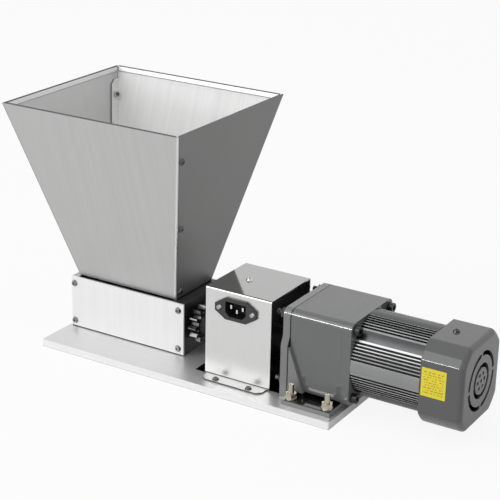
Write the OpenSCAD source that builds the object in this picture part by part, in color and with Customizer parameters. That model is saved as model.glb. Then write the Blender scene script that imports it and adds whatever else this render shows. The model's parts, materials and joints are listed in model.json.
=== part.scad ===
// Electric two-roller grain mill: hopper, roller mill, coupling box and gear motor on one plate.
// The origin is the centre of the plate's underside, with the motor shaft along X.

/* [Base plate] */
// Length of the base plate, left to right
plate_l = 360; // [350:1:420]
// Depth of the base plate, front to back
plate_w = 146; // [140:1:180]
// Thickness of the base plate
plate_t = 8; // [6:0.5:12]
// Radius of the plate's upright corners
plate_corner_r = 1.5; // [0.5:0.5:6]

/* [Roller mill] */
// Distance from the plate's left edge to the mill
mill_inset = 4; // [2:0.5:8]
// Length of the mill body, left to right
mill_l = 150; // [120:1:160]
// Height of the mill body above its roller shafts
mill_head = 27; // [27:0.5:36]
// Thickness of the left end plate
left_end_t = 8; // [6:0.5:12]
// Thickness of the right end plate
right_end_t = 14; // [8:0.5:18]
// Thickness of the front and back cover plates
cover_plate_t = 2; // [1:0.25:4]
// Depth of the mill body over its covers
mill_w = 82; // [80:0.5:100]
// Diameter of both rollers
roller_d = 35; // [30:0.1:35.4]
// Diameter of the roller shafts
roller_shaft_d = 12; // [10:0.5:15]
// Number of flutes round a roller
flute_count = 60; // [36:2:80]
// Depth of a roller flute
flute_depth = 0.6; // [0.3:0.1:1]

/* [Roller gears] */
// Module of the pair of roller gears, which sets the roller spacing with the tooth count
roller_gear_module = 3; // [3:0.05:3.1]
// Teeth on each roller gear
roller_gear_teeth = 12; // [12:1:13]
// Face width of a roller gear
roller_gear_w = 9; // [6:0.5:10]
// Gap between the right end plate and the gears
roller_gear_gap = 4; // [3:0.5:6]
// Length of a roller gear's hub
roller_hub_l = 8; // [7:0.5:10]
// Diameter of a roller gear's hub
roller_hub_d = 26; // [22:0.5:28]

/* [Hopper] */
// Thickness of the hopper sheet
sheet_t = 1.2; // [0.8:0.1:1.6]
// Length of the hopper's mouth, left to right
hopper_top_l = 222; // [190:1:240]
// Depth of the hopper's mouth, front to back
hopper_top_w = 204; // [170:1:220]
// Depth of the hopper's outlet, front to back
hopper_bottom_w = 70; // [69:0.5:72]
// Height of the hopper above the mill
hopper_h = 206; // [160:1:240]
// Height of the folded hem round the mouth
hem_h = 6; // [4:0.5:9]
// Width of the flanges of the front and back panels at the screwed corners
flange_w = 14; // [12:0.5:18]
// Distance of the hopper screws from the panel edge
screw_edge = 7.5; // [6.5:0.25:9]
// Distance of the lowest hopper screws from the outlet, along the panel
screw_low = 10; // [8:0.5:20]
// Distance of the highest hopper screws from the mouth, along the panel
screw_high = 31; // [26:0.5:40]
// Set-back of the side panels' edges at the screwed corners, which shows the bends of the flanges
side_setback = 2.8; // [1.6:0.1:3.4]

/* [Coupling box] */
// Gap between the mill and the box cover
box_gap = 42; // [36:0.5:46]
// Length of the box cover, left to right
box_l = 79; // [76:0.5:83]
// Depth of the box cover, front to back
box_w = 80; // [76:0.5:86]
// Height of the box cover above the plate
box_h = 99.4; // [96:0.2:110]
// Thickness of the box cover's sheet
box_t = 1.5; // [1:0.1:2]
// Distance of the box cover's front face in front of the shaft
box_front = 45.3; // [44.6:0.1:47]
// Length of the feet that the cover stands on
box_foot_l = 16; // [14:0.5:18]
// Distance of the mains inlet below the top of the box cover
inlet_drop = 18.8; // [16.6:0.2:24]
// Distance of the mains inlet from the left end of the box
inlet_x = 37.6; // [34:0.2:42]

/* [Shaft coupling] */
// Diameter of the jaw coupling
coupling_d = 40; // [36:0.5:42]
// Length of each coupling hub without its jaws
coupling_hub_l = 25; // [20:0.5:25]
// Length of the jaws, which the spider fills
coupling_jaw_l = 16; // [12:0.5:16]
// Gap between the coupling and the motor bracket
coupling_gap = 5; // [4:0.5:8]

/* [Motor bracket] */
// Gap between the box cover and the motor bracket
bracket_gap = 14; // [13:0.5:18]
// Thickness of the bracket's upright plate
bracket_t = 8.5; // [7:0.5:10]
// Thickness of the bracket's foot
foot_t = 6; // [5:0.5:8]
// Width of the bracket's ears in front of and behind the gearbox
ear_w = 19; // [17:0.5:23]
// Thickness of the gussets beside the gearbox
gusset_t = 4; // [3:0.5:5]

/* [Gear motor] */
// Side of the square gearbox and motor frame
frame_w = 90; // [90:0.5:92]
// Radius of the frame's long corners
frame_r = 8; // [6:0.5:9]
// Length of the gearbox
gearbox_l = 58; // [56:0.5:64]
// Thickness of the motor's front flange
motor_flange_t = 10.5; // [10:0.5:14]
// Length of the finned motor body
motor_l = 75.5; // [74:0.5:90]
// Length of the fan cover
fan_cover_l = 45.5; // [42:0.5:50]
// Diameter of the gearbox's output shaft
output_shaft_d = 15; // [12:0.5:15]
// Distance of the output shaft below the motor shaft
shaft_drop = 18; // [17:0.5:18]

/* [Fasteners] */
// Thread diameter of the long motor bolts and of the bracket's studs
bolt_d = 6; // [5:0.5:6]
// Thread diameter of the sheet and cover screws
screw_d = 4; // [3:0.5:4]

/* [Hidden] */

// Overrun of every cut
over = 1;
// Radial clearance of fixed fits, and of running fits
fit = 0.05;
run = 0.06;
// Gap left between pieces that only lie against each other
seat = 0.2;
// Smoothness of round pieces
round_fn = 64;
small_fn = 32;

// Places along X, from the mill to the fan cover
mill_x0 = mill_inset - plate_l / 2;
mill_x1 = mill_x0 + mill_l;
roll_x0 = mill_x0 + left_end_t;
roll_x1 = mill_x1 - right_end_t;
gear_x = mill_x1 + roller_gear_gap;
box_x0 = mill_x1 + box_gap;
box_x1 = box_x0 + box_l;
bracket_x = box_x1 + bracket_gap;
gearbox_x = bracket_x + bracket_t;
flange_x = gearbox_x + gearbox_l;
motor_x = flange_x + motor_flange_t;
cover_x = motor_x + motor_l;
end_x = cover_x + fan_cover_l;

// Heights and depths
foot_top = plate_t + foot_t;
motor_z = foot_top + frame_w / 2;
drive_z = motor_z - shaft_drop;
mill_top = drive_z + mill_head;
roller_pitch = roller_gear_module * roller_gear_teeth;
// Distance of the mill's middle in front of the middle of the two rollers
mill_forward = 1;
mill_yc = roller_pitch / 2 - mill_forward;
mill_y0 = mill_yc - mill_w / 2;
mill_y1 = mill_yc + mill_w / 2;
box_y0 = -box_front;
box_y1 = box_y0 + box_w;
box_top = plate_t + box_h;

// Fastener proportions, as multiples of the thread
button_share = 1.9;
button_top_share = 1.3;
button_h_share = 0.55;
socket_share = 0.63;
socket_floor_share = 0.2;
sunk_share = 2;
sunk_h_share = 0.5;
sunk_socket_share = 0.6;
nut_share = 1.96;
nut_h_share = 0.8;
washer_share = 2;
cap_head_share = 1.67;
cap_socket_share = 0.96;
// Length of a screw that stands out of its nut
screw_out = 1;

// Rounded rectangle about the origin
module round_rect(l, w, r) {
    square([l - 2 * r, w], center = true);
    square([l, w - 2 * r], center = true);
    for (x = [-1, 1], y = [-1, 1])
        translate([x * (l / 2 - r), y * (w / 2 - r)]) circle(r = r, $fn = small_fn);
}

// Turns a drawing in Y and Z upright and extrudes it along +X by l
module along_x(l) {
    rotate([90, 0, 90]) linear_extrude(l) children();
}

// Cylinder along +X from the origin
module rod_x(d, l, fn = round_fn) {
    rotate([0, 90, 0]) cylinder(d = d, h = l, $fn = fn);
}

// Ring along +X from the origin
module ring_x(od, id, l) {
    difference() {
        rod_x(od, l);
        translate([-over, 0, 0]) rod_x(id, l + 2 * over);
    }
}

// Block between two corners
module block(a, b) {
    translate(a) cube(b - a);
}

// Screw along -Z with its button head above the origin
module button_screw(d, l) {
    difference() {
        union() {
            translate([0, 0, -l]) cylinder(d = d, h = l + socket_floor_share * d / 2, $fn = small_fn);
            cylinder(d1 = button_share * d, d2 = button_top_share * d, h = button_h_share * d,
                $fn = small_fn);
        }
        translate([0, 0, socket_floor_share * d]) cylinder(d = socket_share * d, h = d, $fn = 6);
    }
}

// Cut for a screw of diameter d up through a thickness l from the origin
module screw_hole(d, l) {
    translate([0, 0, -over]) cylinder(d = d + 2 * fit, h = l + 2 * over, $fn = small_fn);
}

// Hex nut standing on the origin
module hex_nut(d, h) {
    difference() {
        cylinder(d = nut_share * d, h = h, $fn = 6);
        screw_hole(d, h);
    }
}

// Involute of a base circle of radius rb at roll angle a, in degrees
function involute(rb, a) = let (t = a * PI / 180)
    [rb * (cos(a) + t * sin(a)), rb * (sin(a) - t * cos(a))];
function roll_at(rb, r) = sqrt(pow(max(r, rb) / rb, 2) - 1) * 180 / PI;
function polar(p) = [norm(p), atan2(p[1], p[0])];
function turned(p, a) = [p[0] * cos(a) - p[1] * sin(a), p[0] * sin(a) + p[1] * cos(a)];

pressure_angle = 25;
backlash_share = 0.04;
addendum_share = 0.95;
dedendum_share = 1.25;
flank_steps = 3;

// Outline of a spur gear with involute teeth, a tooth centred on +X
module spur_gear(m, n) {
    rp = m * n / 2;
    rb = rp * cos(pressure_angle);
    ra = rp + addendum_share * m;
    rf = rp - dedendum_share * m;
    at_pitch = polar(involute(rb, roll_at(rb, rp)))[1];
    half = 90 / n - backlash_share * m / rp * 180 / PI;
    tip_roll = roll_at(rb, ra);
    flank = [for (i = [0:flank_steps]) turned(involute(rb, tip_roll * i / flank_steps), -half - at_pitch)];
    root = [turned([rf, 0], -half - at_pitch)];
    side = concat(root, flank);
    other = [for (i = [len(side) - 1:-1:0]) [side[i][0], -side[i][1]]];
    tooth = concat(side, other);
    polygon([for (k = [0:n - 1]) for (p = tooth) turned(p, k * 360 / n)]);
}

// Windows in the base plate
grain_margin = 8;
grain_w = 54;
window_left = 13.5;
window_right = 10;
window_back = 22;
box_window_x0 = box_x0 - window_left;
box_window_x1 = box_x1 - box_t - window_right;
box_window_y0 = box_y0 + box_t;
box_window_y1 = box_y1 - box_t - window_back;

// Places of the screws that come up through the plate
mill_foot_share = 0.17;
mill_foot_y = [mill_yc - mill_w * mill_foot_share, mill_yc + mill_w * mill_foot_share];
mill_foot_x = [mill_x0 + left_end_t / 2, mill_x1 - right_end_t / 2];
mill_foot_depth = 11;
box_foot_pitch = 40;
box_foot_screw_x = [(box_x0 + box_x1 - box_foot_pitch) / 2, (box_x0 + box_x1 + box_foot_pitch) / 2];
box_foot_share = 0.62;
box_foot_screw_y = [box_y0 - box_foot_l * box_foot_share, box_y1 + box_foot_l * box_foot_share];
ear_inset = 2;
ear_x0 = gearbox_x + ear_inset;
ear_x1 = flange_x;
stud_left_edge = 8;
stud_edge = 6.5;
ear_y = frame_w / 2 + ear_w;
stud_x = [ear_x0 + stud_left_edge, ear_x1 - stud_edge];
stud_y = [stud_edge - ear_y, ear_y - stud_edge];
stud_h = 16;

module base_plate() color("lightgray") {
    difference() {
        linear_extrude(plate_t) round_rect(plate_l, plate_w, plate_corner_r);
        block([roll_x0 + grain_margin, mill_yc - grain_w / 2, -over],
            [roll_x1 - grain_margin, mill_yc + grain_w / 2, plate_t + over]);
        block([box_window_x0, box_window_y0, -over], [box_window_x1, box_window_y1, plate_t + over]);
        for (x = mill_foot_x, y = mill_foot_y) translate([x, y, 0]) foot_screw_cut(screw_d);
        for (x = stud_x, y = stud_y) translate([x, y, 0]) foot_screw_cut(bolt_d);
        for (x = box_foot_screw_x, y = box_foot_screw_y) translate([x, y, 0]) screw_hole(screw_d, plate_t);
    }
}

// Hole for a screw that comes up through the plate
module foot_screw_cut(d) {
    screw_hole(d, plate_t);
    translate([0, 0, -over]) cylinder(d = sunk_share * d + 2 * fit, h = over, $fn = small_fn);
    cylinder(d1 = sunk_share * d + 2 * fit, d2 = d + 2 * fit, h = sunk_h_share * d, $fn = small_fn);
}

// Countersunk screw pointing up, with its head flush with the plate's underside
module foot_screw(d, l) {
    difference() {
        union() {
            translate([0, 0, fit])
                cylinder(d1 = sunk_share * d, d2 = d, h = sunk_h_share * d, $fn = small_fn);
            translate([0, 0, fit]) cylinder(d = d, h = l, $fn = small_fn);
        }
        cylinder(d = socket_share * d, h = sunk_socket_share * d, $fn = 6);
    }
}

module mill_foot_screws() color("dimgray") {
    for (x = mill_foot_x, y = mill_foot_y)
        translate([x, y, 0]) foot_screw(screw_d, plate_t + mill_foot_depth - seat);
}

// Bushes, cover screws and the shafts they serve
bush_wall = 2.5;
bush_d = roller_shaft_d + 2 * bush_wall;
bush_flange_w = 2.5;
bush_flange_d = bush_d + 2 * bush_flange_w;
bush_flange_t = 1.2;
roller_end_play = 0.3;
roller_side_gap = bush_flange_t + roller_end_play;
cover_screw_low = 7.5;
cover_screw_high = 8;
cover_screw_z = [plate_t + cover_screw_low, mill_top - cover_screw_high];
cover_screw_grip = 11;
cover_screw_l = cover_plate_t + cover_screw_grip;
roller_ys = [0, roller_pitch];

// Hopper placed on the mill, between its end plates
hopper_bottom_l = roll_x1 - roll_x0 - 2 * seat;
hopper_xc = (roll_x0 + roll_x1) / 2;
outlet_x1 = hopper_xc + hopper_bottom_l / 2;
side_run = (hopper_top_l - hopper_bottom_l) / 2;
front_run = (hopper_top_w - hopper_bottom_w) / 2;
side_tilt = atan2(side_run, hopper_h);
front_tilt = atan2(front_run, hopper_h);
side_len = norm([side_run, hopper_h]);
front_len = norm([front_run, hopper_h]);
side_skirt_h = 8.5;
front_skirt_h = 16;
hem_gap = 2.5;
flange_clear = 14;
flange_chamfer = 5;
flange_foot = 1;
mount_screw_l = 7;
mount_screw_z = mill_top - side_skirt_h / 2;
mount_screw_share = 0.22;
mount_screw_out = hopper_bottom_w * mount_screw_share;
mount_screw_y = [mill_yc - mount_screw_out, mill_yc + mount_screw_out];

// End plate from x to x + t; inward is 1 where the rollers lie towards +X
module end_plate(x, t, inward) {
    inner_x = inward > 0 ? x + t : x;
    difference() {
        block([x, mill_y0 + cover_plate_t, plate_t], [x + t, mill_y1 - cover_plate_t, mill_top]);
        for (y = roller_ys) translate([x - over, y, drive_z]) rod_x(bush_d + 2 * fit, t + 2 * over);
        for (z = cover_screw_z, side = [-1, 1])
            translate([x + t / 2, mill_yc + side * mill_w / 2, z]) rotate([side * 90, 0, 0])
                cylinder(d = screw_d + 2 * fit, h = cover_screw_l + seat, $fn = small_fn);
        for (y = mill_foot_y)
            translate([x + t / 2, y, plate_t - over])
                cylinder(d = screw_d + 2 * fit, h = mill_foot_depth + over, $fn = small_fn);
        for (y = mount_screw_y)
            translate([inner_x + inward * over, y, mount_screw_z]) rotate([0, -90 * inward, 0])
                cylinder(d = screw_d + 2 * fit, h = mount_screw_l + over, $fn = small_fn);
    }
}

module mill_left_plate() color("silver") {
    end_plate(mill_x0, left_end_t, 1);
}

module mill_right_plate() color("dimgray") {
    end_plate(roll_x1, right_end_t, -1);
}

module cover_plate(y) {
    difference() {
        block([mill_x0, y, plate_t], [mill_x1, y + cover_plate_t, mill_top]);
        for (x = mill_foot_x, z = cover_screw_z)
            translate([x, y, z]) rotate([-90, 0, 0]) screw_hole(screw_d, cover_plate_t);
    }
}

module mill_front_plate() color("gainsboro") {
    cover_plate(mill_y0);
}

module mill_back_plate() color("gainsboro") {
    cover_plate(mill_y1 - cover_plate_t);
}

module cover_plate_screws() color("silver") {
    for (x = mill_foot_x, z = cover_screw_z) {
        translate([x, mill_y0, z]) rotate([90, 0, 0]) button_screw(screw_d, cover_screw_l);
        translate([x, mill_y1, z]) rotate([-90, 0, 0]) button_screw(screw_d, cover_screw_l);
    }
}

// Bush from x to x + t with its flange on the side that inward points to
module bush(x, t, inward) {
    flange_at = inward > 0 ? x + t : x - bush_flange_t;
    for (y = roller_ys) translate([0, y, drive_z]) difference() {
        union() {
            translate([x, 0, 0]) rod_x(bush_d, t);
            translate([flange_at, 0, 0]) rod_x(bush_flange_d, bush_flange_t);
        }
        translate([x - bush_flange_t - over, 0, 0])
            rod_x(roller_shaft_d + 2 * run, t + 2 * bush_flange_t + 2 * over);
    }
}

module left_bushes() color("darkgoldenrod") {
    bush(mill_x0, left_end_t, 1);
}

module right_bushes() color("darkgoldenrod") {
    bush(roll_x1, right_end_t, -1);
}

// Fluted roller about the X axis, with journals that end at x0 and x1
module roller(x0, x1) {
    a = roll_x0 + roller_side_gap;
    b = roll_x1 - roller_side_gap;
    radii = [roller_d / 2 - flute_depth, roller_d / 2];
    translate([a, 0, 0]) along_x(b - a)
        polygon([for (i = [0:2 * flute_count - 1]) turned([radii[i % 2], 0], i * 180 / flute_count)]);
    translate([x0, 0, 0]) rod_x(roller_shaft_d, x1 - x0);
}

journal_inset = 1;
coupling_x1 = bracket_x - coupling_gap;
coupling_x0 = coupling_x1 - 2 * coupling_hub_l - coupling_jaw_l;
gear_hub_end = gear_x + roller_gear_w + roller_hub_l;
shaft_end_gap = 1.5;

module drive_roller() color("slategray") {
    translate([0, 0, drive_z])
        roller(mill_x0 + journal_inset, coupling_x0 + coupling_hub_l - shaft_end_gap);
}

module driven_roller() color("slategray") {
    translate([0, roller_pitch, drive_z]) roller(mill_x0 + journal_inset, gear_hub_end + journal_inset);
}

grub_d = 5;
gear_screw_x = gear_x + roller_gear_w + roller_hub_l / 2;
grub_socket_share = 0.5;

// Roller gear with its hub on the right; phase turns it into mesh
module roller_gear(phase) {
    difference() {
        union() {
            translate([gear_x, 0, 0]) along_x(roller_gear_w)
                rotate(phase) spur_gear(roller_gear_module, roller_gear_teeth);
            translate([gear_x, 0, 0]) rod_x(roller_hub_d, roller_gear_w + roller_hub_l);
        }
        translate([gear_x - over, 0, 0])
            rod_x(roller_shaft_d + 2 * fit, roller_gear_w + roller_hub_l + 2 * over);
        translate([gear_screw_x, 0, 0]) cylinder(d = grub_d + 2 * fit, h = roller_hub_d, $fn = small_fn);
    }
}

// Grub screw along +Z from the face of a shaft of diameter shaft to that of a hub of diameter hub
module grub_screw(shaft, hub) {
    difference() {
        translate([0, 0, shaft / 2 + fit])
            cylinder(d = grub_d, h = (hub - shaft) / 2 - seat, $fn = small_fn);
        translate([0, 0, hub / 2 - grub_d / 2])
            cylinder(d = grub_socket_share * grub_d, h = grub_d, $fn = 6);
    }
}

module drive_roller_gear() color("gray") {
    translate([0, 0, drive_z]) roller_gear(0);
}

module driven_roller_gear() color("gray") {
    translate([0, roller_pitch, drive_z]) roller_gear(180 / roller_gear_teeth);
}

module drive_gear_screw() color("dimgray") {
    translate([gear_screw_x, 0, drive_z]) grub_screw(roller_shaft_d, roller_hub_d);
}

module driven_gear_screw() color("dimgray") {
    translate([gear_screw_x, roller_pitch, drive_z]) grub_screw(roller_shaft_d, roller_hub_d);
}

// Places a drawing on the right panel: its X runs to the back, its Y up the panel and its Z outwards
module on_right_panel() {
    translate([outlet_x1, mill_yc, mill_top]) rotate([0, side_tilt, 0])
        rotate([90, 0, 90]) children();
}

// Places a drawing on the front panel: its X runs to the right, its Y up the panel and its Z outwards
module on_front_panel() {
    translate([hopper_xc, mill_yc - hopper_bottom_w / 2, mill_top]) rotate([front_tilt, 0, 0])
        rotate([90, 0, 0]) children();
}

// The hopper is two alike sheets, each bent round one corner and turned half round from the other
module half_turn() {
    translate([2 * hopper_xc, 2 * mill_yc, 0]) rotate(180) children();
}

module both_halves() {
    children();
    half_turn() children();
}

// Half the width of a trapezoid panel at the height s along it
function side_half(s) = hopper_bottom_w / 2 + front_run * s / side_len;
function front_half(s) = hopper_bottom_l / 2 + side_run * s / front_len;
side_step = sheet_t / cos(side_tilt);
front_step = sheet_t / cos(front_tilt);
screw_s = [screw_low, (screw_low + side_len - screw_high) / 2, side_len - screw_high];

// Flat sheet between two heights, with its two ends held back from the corners by a and b
module side_strip(s0, s1, a, b) {
    polygon([[a - side_half(s0), s0], [side_half(s0) - b, s0], [side_half(s1) - b, s1],
        [a - side_half(s1), s1]]);
}

module front_strip(s0, s1, a, b) {
    polygon([[a - front_half(s0), s0], [front_half(s0) - b, s0], [front_half(s1) - b, s1],
        [a - front_half(s1), s1]]);
}

// End view of the skirt under a panel that leans outwards, with the bend between them: X outwards, Y up
module skirt_outline(h, tilt) {
    bend_up = sheet_t * tan(tilt / 2);
    polygon([[-sheet_t, -h], [0, -h], [0, 0], [sheet_t * (sin(tilt) - cos(tilt)) / 2, sheet_t / 2],
        [-sheet_t * cos(tilt), sheet_t * sin(tilt)], [-sheet_t, bend_up]]);
}

// Right panel of the hopper without its screw holes, plain at the front and bent on at the back
module right_panel() {
    hem_inset = front_step + hem_gap;
    skirt_half = hopper_bottom_w / 2 - side_setback - seat;
    on_right_panel() {
        translate([0, 0, -sheet_t]) linear_extrude(sheet_t) side_strip(0, side_len, side_setback, 0);
        translate([0, 0, -2 * sheet_t]) linear_extrude(sheet_t)
            side_strip(side_len - hem_h, side_len, hem_inset, hem_inset);
    }
    translate([outlet_x1, mill_yc + skirt_half, mill_top]) rotate([90, 0, 0])
        linear_extrude(2 * skirt_half) skirt_outline(side_skirt_h, side_tilt);
}

// Front panel without its screw holes, bent on at the left and with a flange behind the right panel
module front_panel() {
    inset = side_step + fit;
    hem_inset = inset + hem_gap;
    skirt_half = hopper_bottom_l / 2 - sheet_t - seat;
    on_front_panel() {
        translate([0, 0, -sheet_t]) linear_extrude(sheet_t) front_strip(0, front_len, sheet_t / 2, inset);
        translate([0, 0, -2 * sheet_t]) linear_extrude(sheet_t)
            front_strip(front_len - hem_h, front_len, hem_inset, hem_inset);
    }
    on_right_panel() translate([0, 0, -2 * sheet_t - fit]) linear_extrude(sheet_t) corner_flange();
    translate([hopper_xc + skirt_half, mill_yc - hopper_bottom_w / 2, mill_top]) rotate([90, 0, -90])
        linear_extrude(2 * skirt_half) skirt_outline(front_skirt_h, front_tilt);
}

// Places of the hopper's corner screws on the right panel
module screw_places() {
    on_right_panel() for (s = screw_s) translate([screw_edge - side_half(s), s, 0]) children();
}

// Corner flange of the front panel, drawn on the right panel's inner face
module corner_flange() {
    s0 = flange_foot;
    s1 = side_len - flange_clear;
    s2 = s1 - flange_chamfer;
    y0 = side_half(s0) - front_step / 2;
    y1 = side_half(s1) - front_step / 2;
    y2 = side_half(s2) - front_step / 2;
    polygon([[-y0, s0], [-y0 + flange_w, s0], [-y2 + flange_w, s2], [-y1 + flange_w - flange_chamfer, s1],
        [-y1, s1]]);
}

// Sheet of the front and left panels in one piece
module hopper_sheet() {
    difference() {
        union() {
            front_panel();
            half_turn() right_panel();
        }
        screw_places() translate([0, 0, -2 * sheet_t - over])
            cylinder(d = screw_d + 2 * fit, h = sheet_t + over, $fn = small_fn);
        half_turn() {
            screw_places() translate([0, 0, -sheet_t]) screw_hole(screw_d, sheet_t);
            for (y = mount_screw_y)
                translate([outlet_x1 - sheet_t - over, y, mount_screw_z])
                    rod_x(screw_d + 2 * fit, sheet_t + 2 * over, small_fn);
        }
    }
}

module hopper_front_sheet() color("silver") {
    hopper_sheet();
}

module hopper_back_sheet() color("silver") {
    half_turn() hopper_sheet();
}

hopper_nut_h = nut_h_share * screw_d;
hopper_screw_l = 2 * sheet_t + fit + hopper_nut_h + screw_out;

module hopper_screws() color("silver") {
    both_halves() screw_places() button_screw(screw_d, hopper_screw_l);
}

module hopper_nuts() color("silver") {
    both_halves() screw_places() translate([0, 0, -2 * sheet_t - 2 * fit - hopper_nut_h])
        hex_nut(screw_d, hopper_nut_h);
}

module hopper_mount_screws() color("silver") {
    both_halves() for (y = mount_screw_y)
        translate([outlet_x1 - sheet_t, y, mount_screw_z]) rotate([0, -90, 0])
            button_screw(screw_d, mount_screw_l);
}

// Mains inlet: hexagonal flange, shrouded recess and three blades
inlet_pitch = 40;
inlet_lug = 5;
inlet_flange_w = inlet_pitch + 2 * inlet_lug;
inlet_flange_h = 24;
inlet_flange_top = 25;
inlet_tip_h = 8;
inlet_flange_t = 2.5;
inlet_body_w = 28;
inlet_body_h = 19.5;
inlet_body_l = 15;
inlet_recess_w = 24.5;
inlet_recess_h = 16.3;
inlet_recess_l = 14.5;
inlet_recess_chamfer = 4.5;
blade_pitch = 14;
blade_rise = 2;
blade_w = 2;
blade_h = 4;
blade_out = 12;
tab_w = 0.8;
tab_h = 6.3;
tab_l = 8;
inlet_screw_d = 3;
inlet_xc = box_x0 + inlet_x;
inlet_z = box_top - inlet_drop;

// Puts a drawing on the front of the box: X to the right, Y up and Z forwards
module on_box_front() {
    translate([inlet_xc, box_y0, inlet_z]) rotate([90, 0, 0]) children();
}

module inlet_recess_outline(w, h, c) {
    polygon([[-w / 2, h / 2], [w / 2, h / 2], [w / 2, c - h / 2], [w / 2 - c, -h / 2],
        [c - w / 2, -h / 2], [-w / 2, c - h / 2]]);
}

module inlet_flange_outline() {
    w = inlet_flange_w / 2;
    h = inlet_flange_h / 2;
    k = inlet_flange_top / 2;
    e = inlet_tip_h / 2;
    polygon([[-w, e], [-k, h], [k, h], [w, e], [w, -e], [k, -h], [-k, -h], [-w, -e]]);
}

module inlet_socket() color("dimgray") {
    on_box_front() difference() {
        union() {
            linear_extrude(inlet_flange_t) inlet_flange_outline();
            translate([-inlet_body_w / 2, -inlet_body_h / 2, -inlet_body_l])
                cube([inlet_body_w, inlet_body_h, inlet_body_l + over / 2]);
        }
        translate([0, 0, inlet_flange_t - inlet_recess_l]) linear_extrude(inlet_recess_l + over)
            inlet_recess_outline(inlet_recess_w, inlet_recess_h, inlet_recess_chamfer);
        for (x = [-1, 1]) translate([x * inlet_pitch / 2, 0, 0]) screw_hole(inlet_screw_d, inlet_flange_t);
        blades(fit);
    }
}

module blades(gap) {
    for (p = [[-blade_pitch / 2, blade_rise], [0, -blade_rise], [blade_pitch / 2, blade_rise]])
        translate([p[0], p[1], 0]) {
            translate([-blade_w / 2 - gap, -blade_h / 2 - gap, inlet_flange_t - inlet_body_l - over])
                cube([blade_w + 2 * gap, blade_h + 2 * gap, blade_out + over]);
            translate([-tab_w / 2 - gap, -tab_h / 2 - gap, -inlet_body_l - tab_l])
                cube([tab_w + 2 * gap, tab_h + 2 * gap, tab_l + inlet_flange_t + gap - over / 2]);
        }
}

module inlet_pins() color("silver") {
    on_box_front() blades(0);
}

module inlet_screws() color("silver") {
    on_box_front() for (x = [-1, 1])
        translate([x * inlet_pitch / 2, 0, inlet_flange_t]) button_screw(inlet_screw_d, inlet_screw_l);
}

inlet_nut_h = nut_h_share * inlet_screw_d;
inlet_screw_l = inlet_flange_t + box_t + inlet_nut_h + screw_out;

module inlet_nuts() color("silver") {
    on_box_front() for (x = [-1, 1])
        translate([x * inlet_pitch / 2, 0, -box_t - inlet_nut_h]) hex_nut(inlet_screw_d, inlet_nut_h);
}

// Box cover: front, top and back in one bent sheet on two outturned feet
foot_chamfer = 5;
foot_inset = 3;
cap_l = 38;
cap_w = 16;
cap_h = 26;
cap_left = 12;
cap_screw_in = 17;
cap_forward = 6.5;
cap_x = box_x0 + cap_left;
cap_screw_x = cap_x + cap_screw_in;
cap_y = -cap_forward;
cap_screw_l = 9;
bend_extra = 0.5;

module box_foot(y, out) {
    translate([0, y, plate_t]) linear_extrude(box_t)
        polygon([[box_x0, 0], [box_x1, 0], [box_x1, out * foot_inset],
            [box_x1 - foot_inset, out * foot_inset],
            [box_x1 - foot_inset, out * (box_foot_l - foot_chamfer)],
            [box_x1 - foot_inset - foot_chamfer, out * box_foot_l],
            [box_x0 + foot_inset + foot_chamfer, out * box_foot_l],
            [box_x0 + foot_inset, out * (box_foot_l - foot_chamfer)],
            [box_x0 + foot_inset, out * foot_inset], [box_x0, out * foot_inset]]);
}

module box_cover() color("lightgray") {
    bend = box_t + bend_extra;
    difference() {
        union() {
            difference() {
                translate([box_x0, 0, 0]) along_x(box_l) union() {
                    translate([box_y0, plate_t]) square([box_w, box_h - bend]);
                    translate([box_y0 + bend, plate_t]) square([box_w - 2 * bend, box_h]);
                    for (y = [box_y0 + bend, box_y1 - bend])
                        translate([y, box_top - bend]) circle(r = bend, $fn = small_fn);
                }
                block([box_x0 - over, box_y0 + box_t, plate_t - over],
                    [box_x1 + over, box_y1 - box_t, box_top - box_t]);
            }
            box_foot(box_y0 + box_t, -1);
            box_foot(box_y1 - box_t, 1);
        }
        on_box_front() {
            translate([-inlet_body_w / 2 - seat, -inlet_body_h / 2 - seat, -box_t - over])
                cube([inlet_body_w + 2 * seat, inlet_body_h + 2 * seat, box_t + 2 * over]);
            for (x = [-1, 1]) translate([x * inlet_pitch / 2, 0, -box_t]) screw_hole(inlet_screw_d, box_t);
        }
        for (x = box_foot_screw_x, y = box_foot_screw_y)
            translate([x, y, plate_t]) screw_hole(screw_d, box_t);
        translate([cap_screw_x, cap_y, box_top - box_t]) screw_hole(screw_d, box_t);
    }
}

module box_foot_screws() color("dimgray") {
    for (x = box_foot_screw_x, y = box_foot_screw_y)
        translate([x, y, plate_t + box_t]) button_screw(screw_d, box_t + plate_t - over);
}

module box_top_screw() color("silver") {
    translate([cap_screw_x, cap_y, box_top]) button_screw(screw_d, cap_screw_l);
}

module run_capacitor() color("black") {
    difference() {
        block([cap_x, cap_y - cap_w / 2, box_top - box_t - cap_h],
            [cap_x + cap_l, cap_y + cap_w / 2, box_top - box_t]);
        translate([cap_screw_x, cap_y, box_top - cap_screw_l - seat])
            cylinder(d = screw_d + 2 * fit, h = cap_screw_l + over, $fn = small_fn);
    }
}

// Jaw coupling about the X axis: three jaws on each hub with a six-legged spider between them
jaw_count = 3;
leg_angle = 20;
jaw_clear_angle = 1;
jaw_bore_share = 0.46;
key_w = 5;
key_l = 20;
key_inset = 2;
output_shaft_end = coupling_x0 + coupling_hub_l + coupling_jaw_l + shaft_end_gap;
key_x = coupling_x1 - key_l - key_inset;
jaw_bore_r = jaw_bore_share * coupling_d / 2;
jaw_pitch = 360 / jaw_count;
jaw_half = jaw_pitch / 4 - leg_angle / 2 - jaw_clear_angle;

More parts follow.
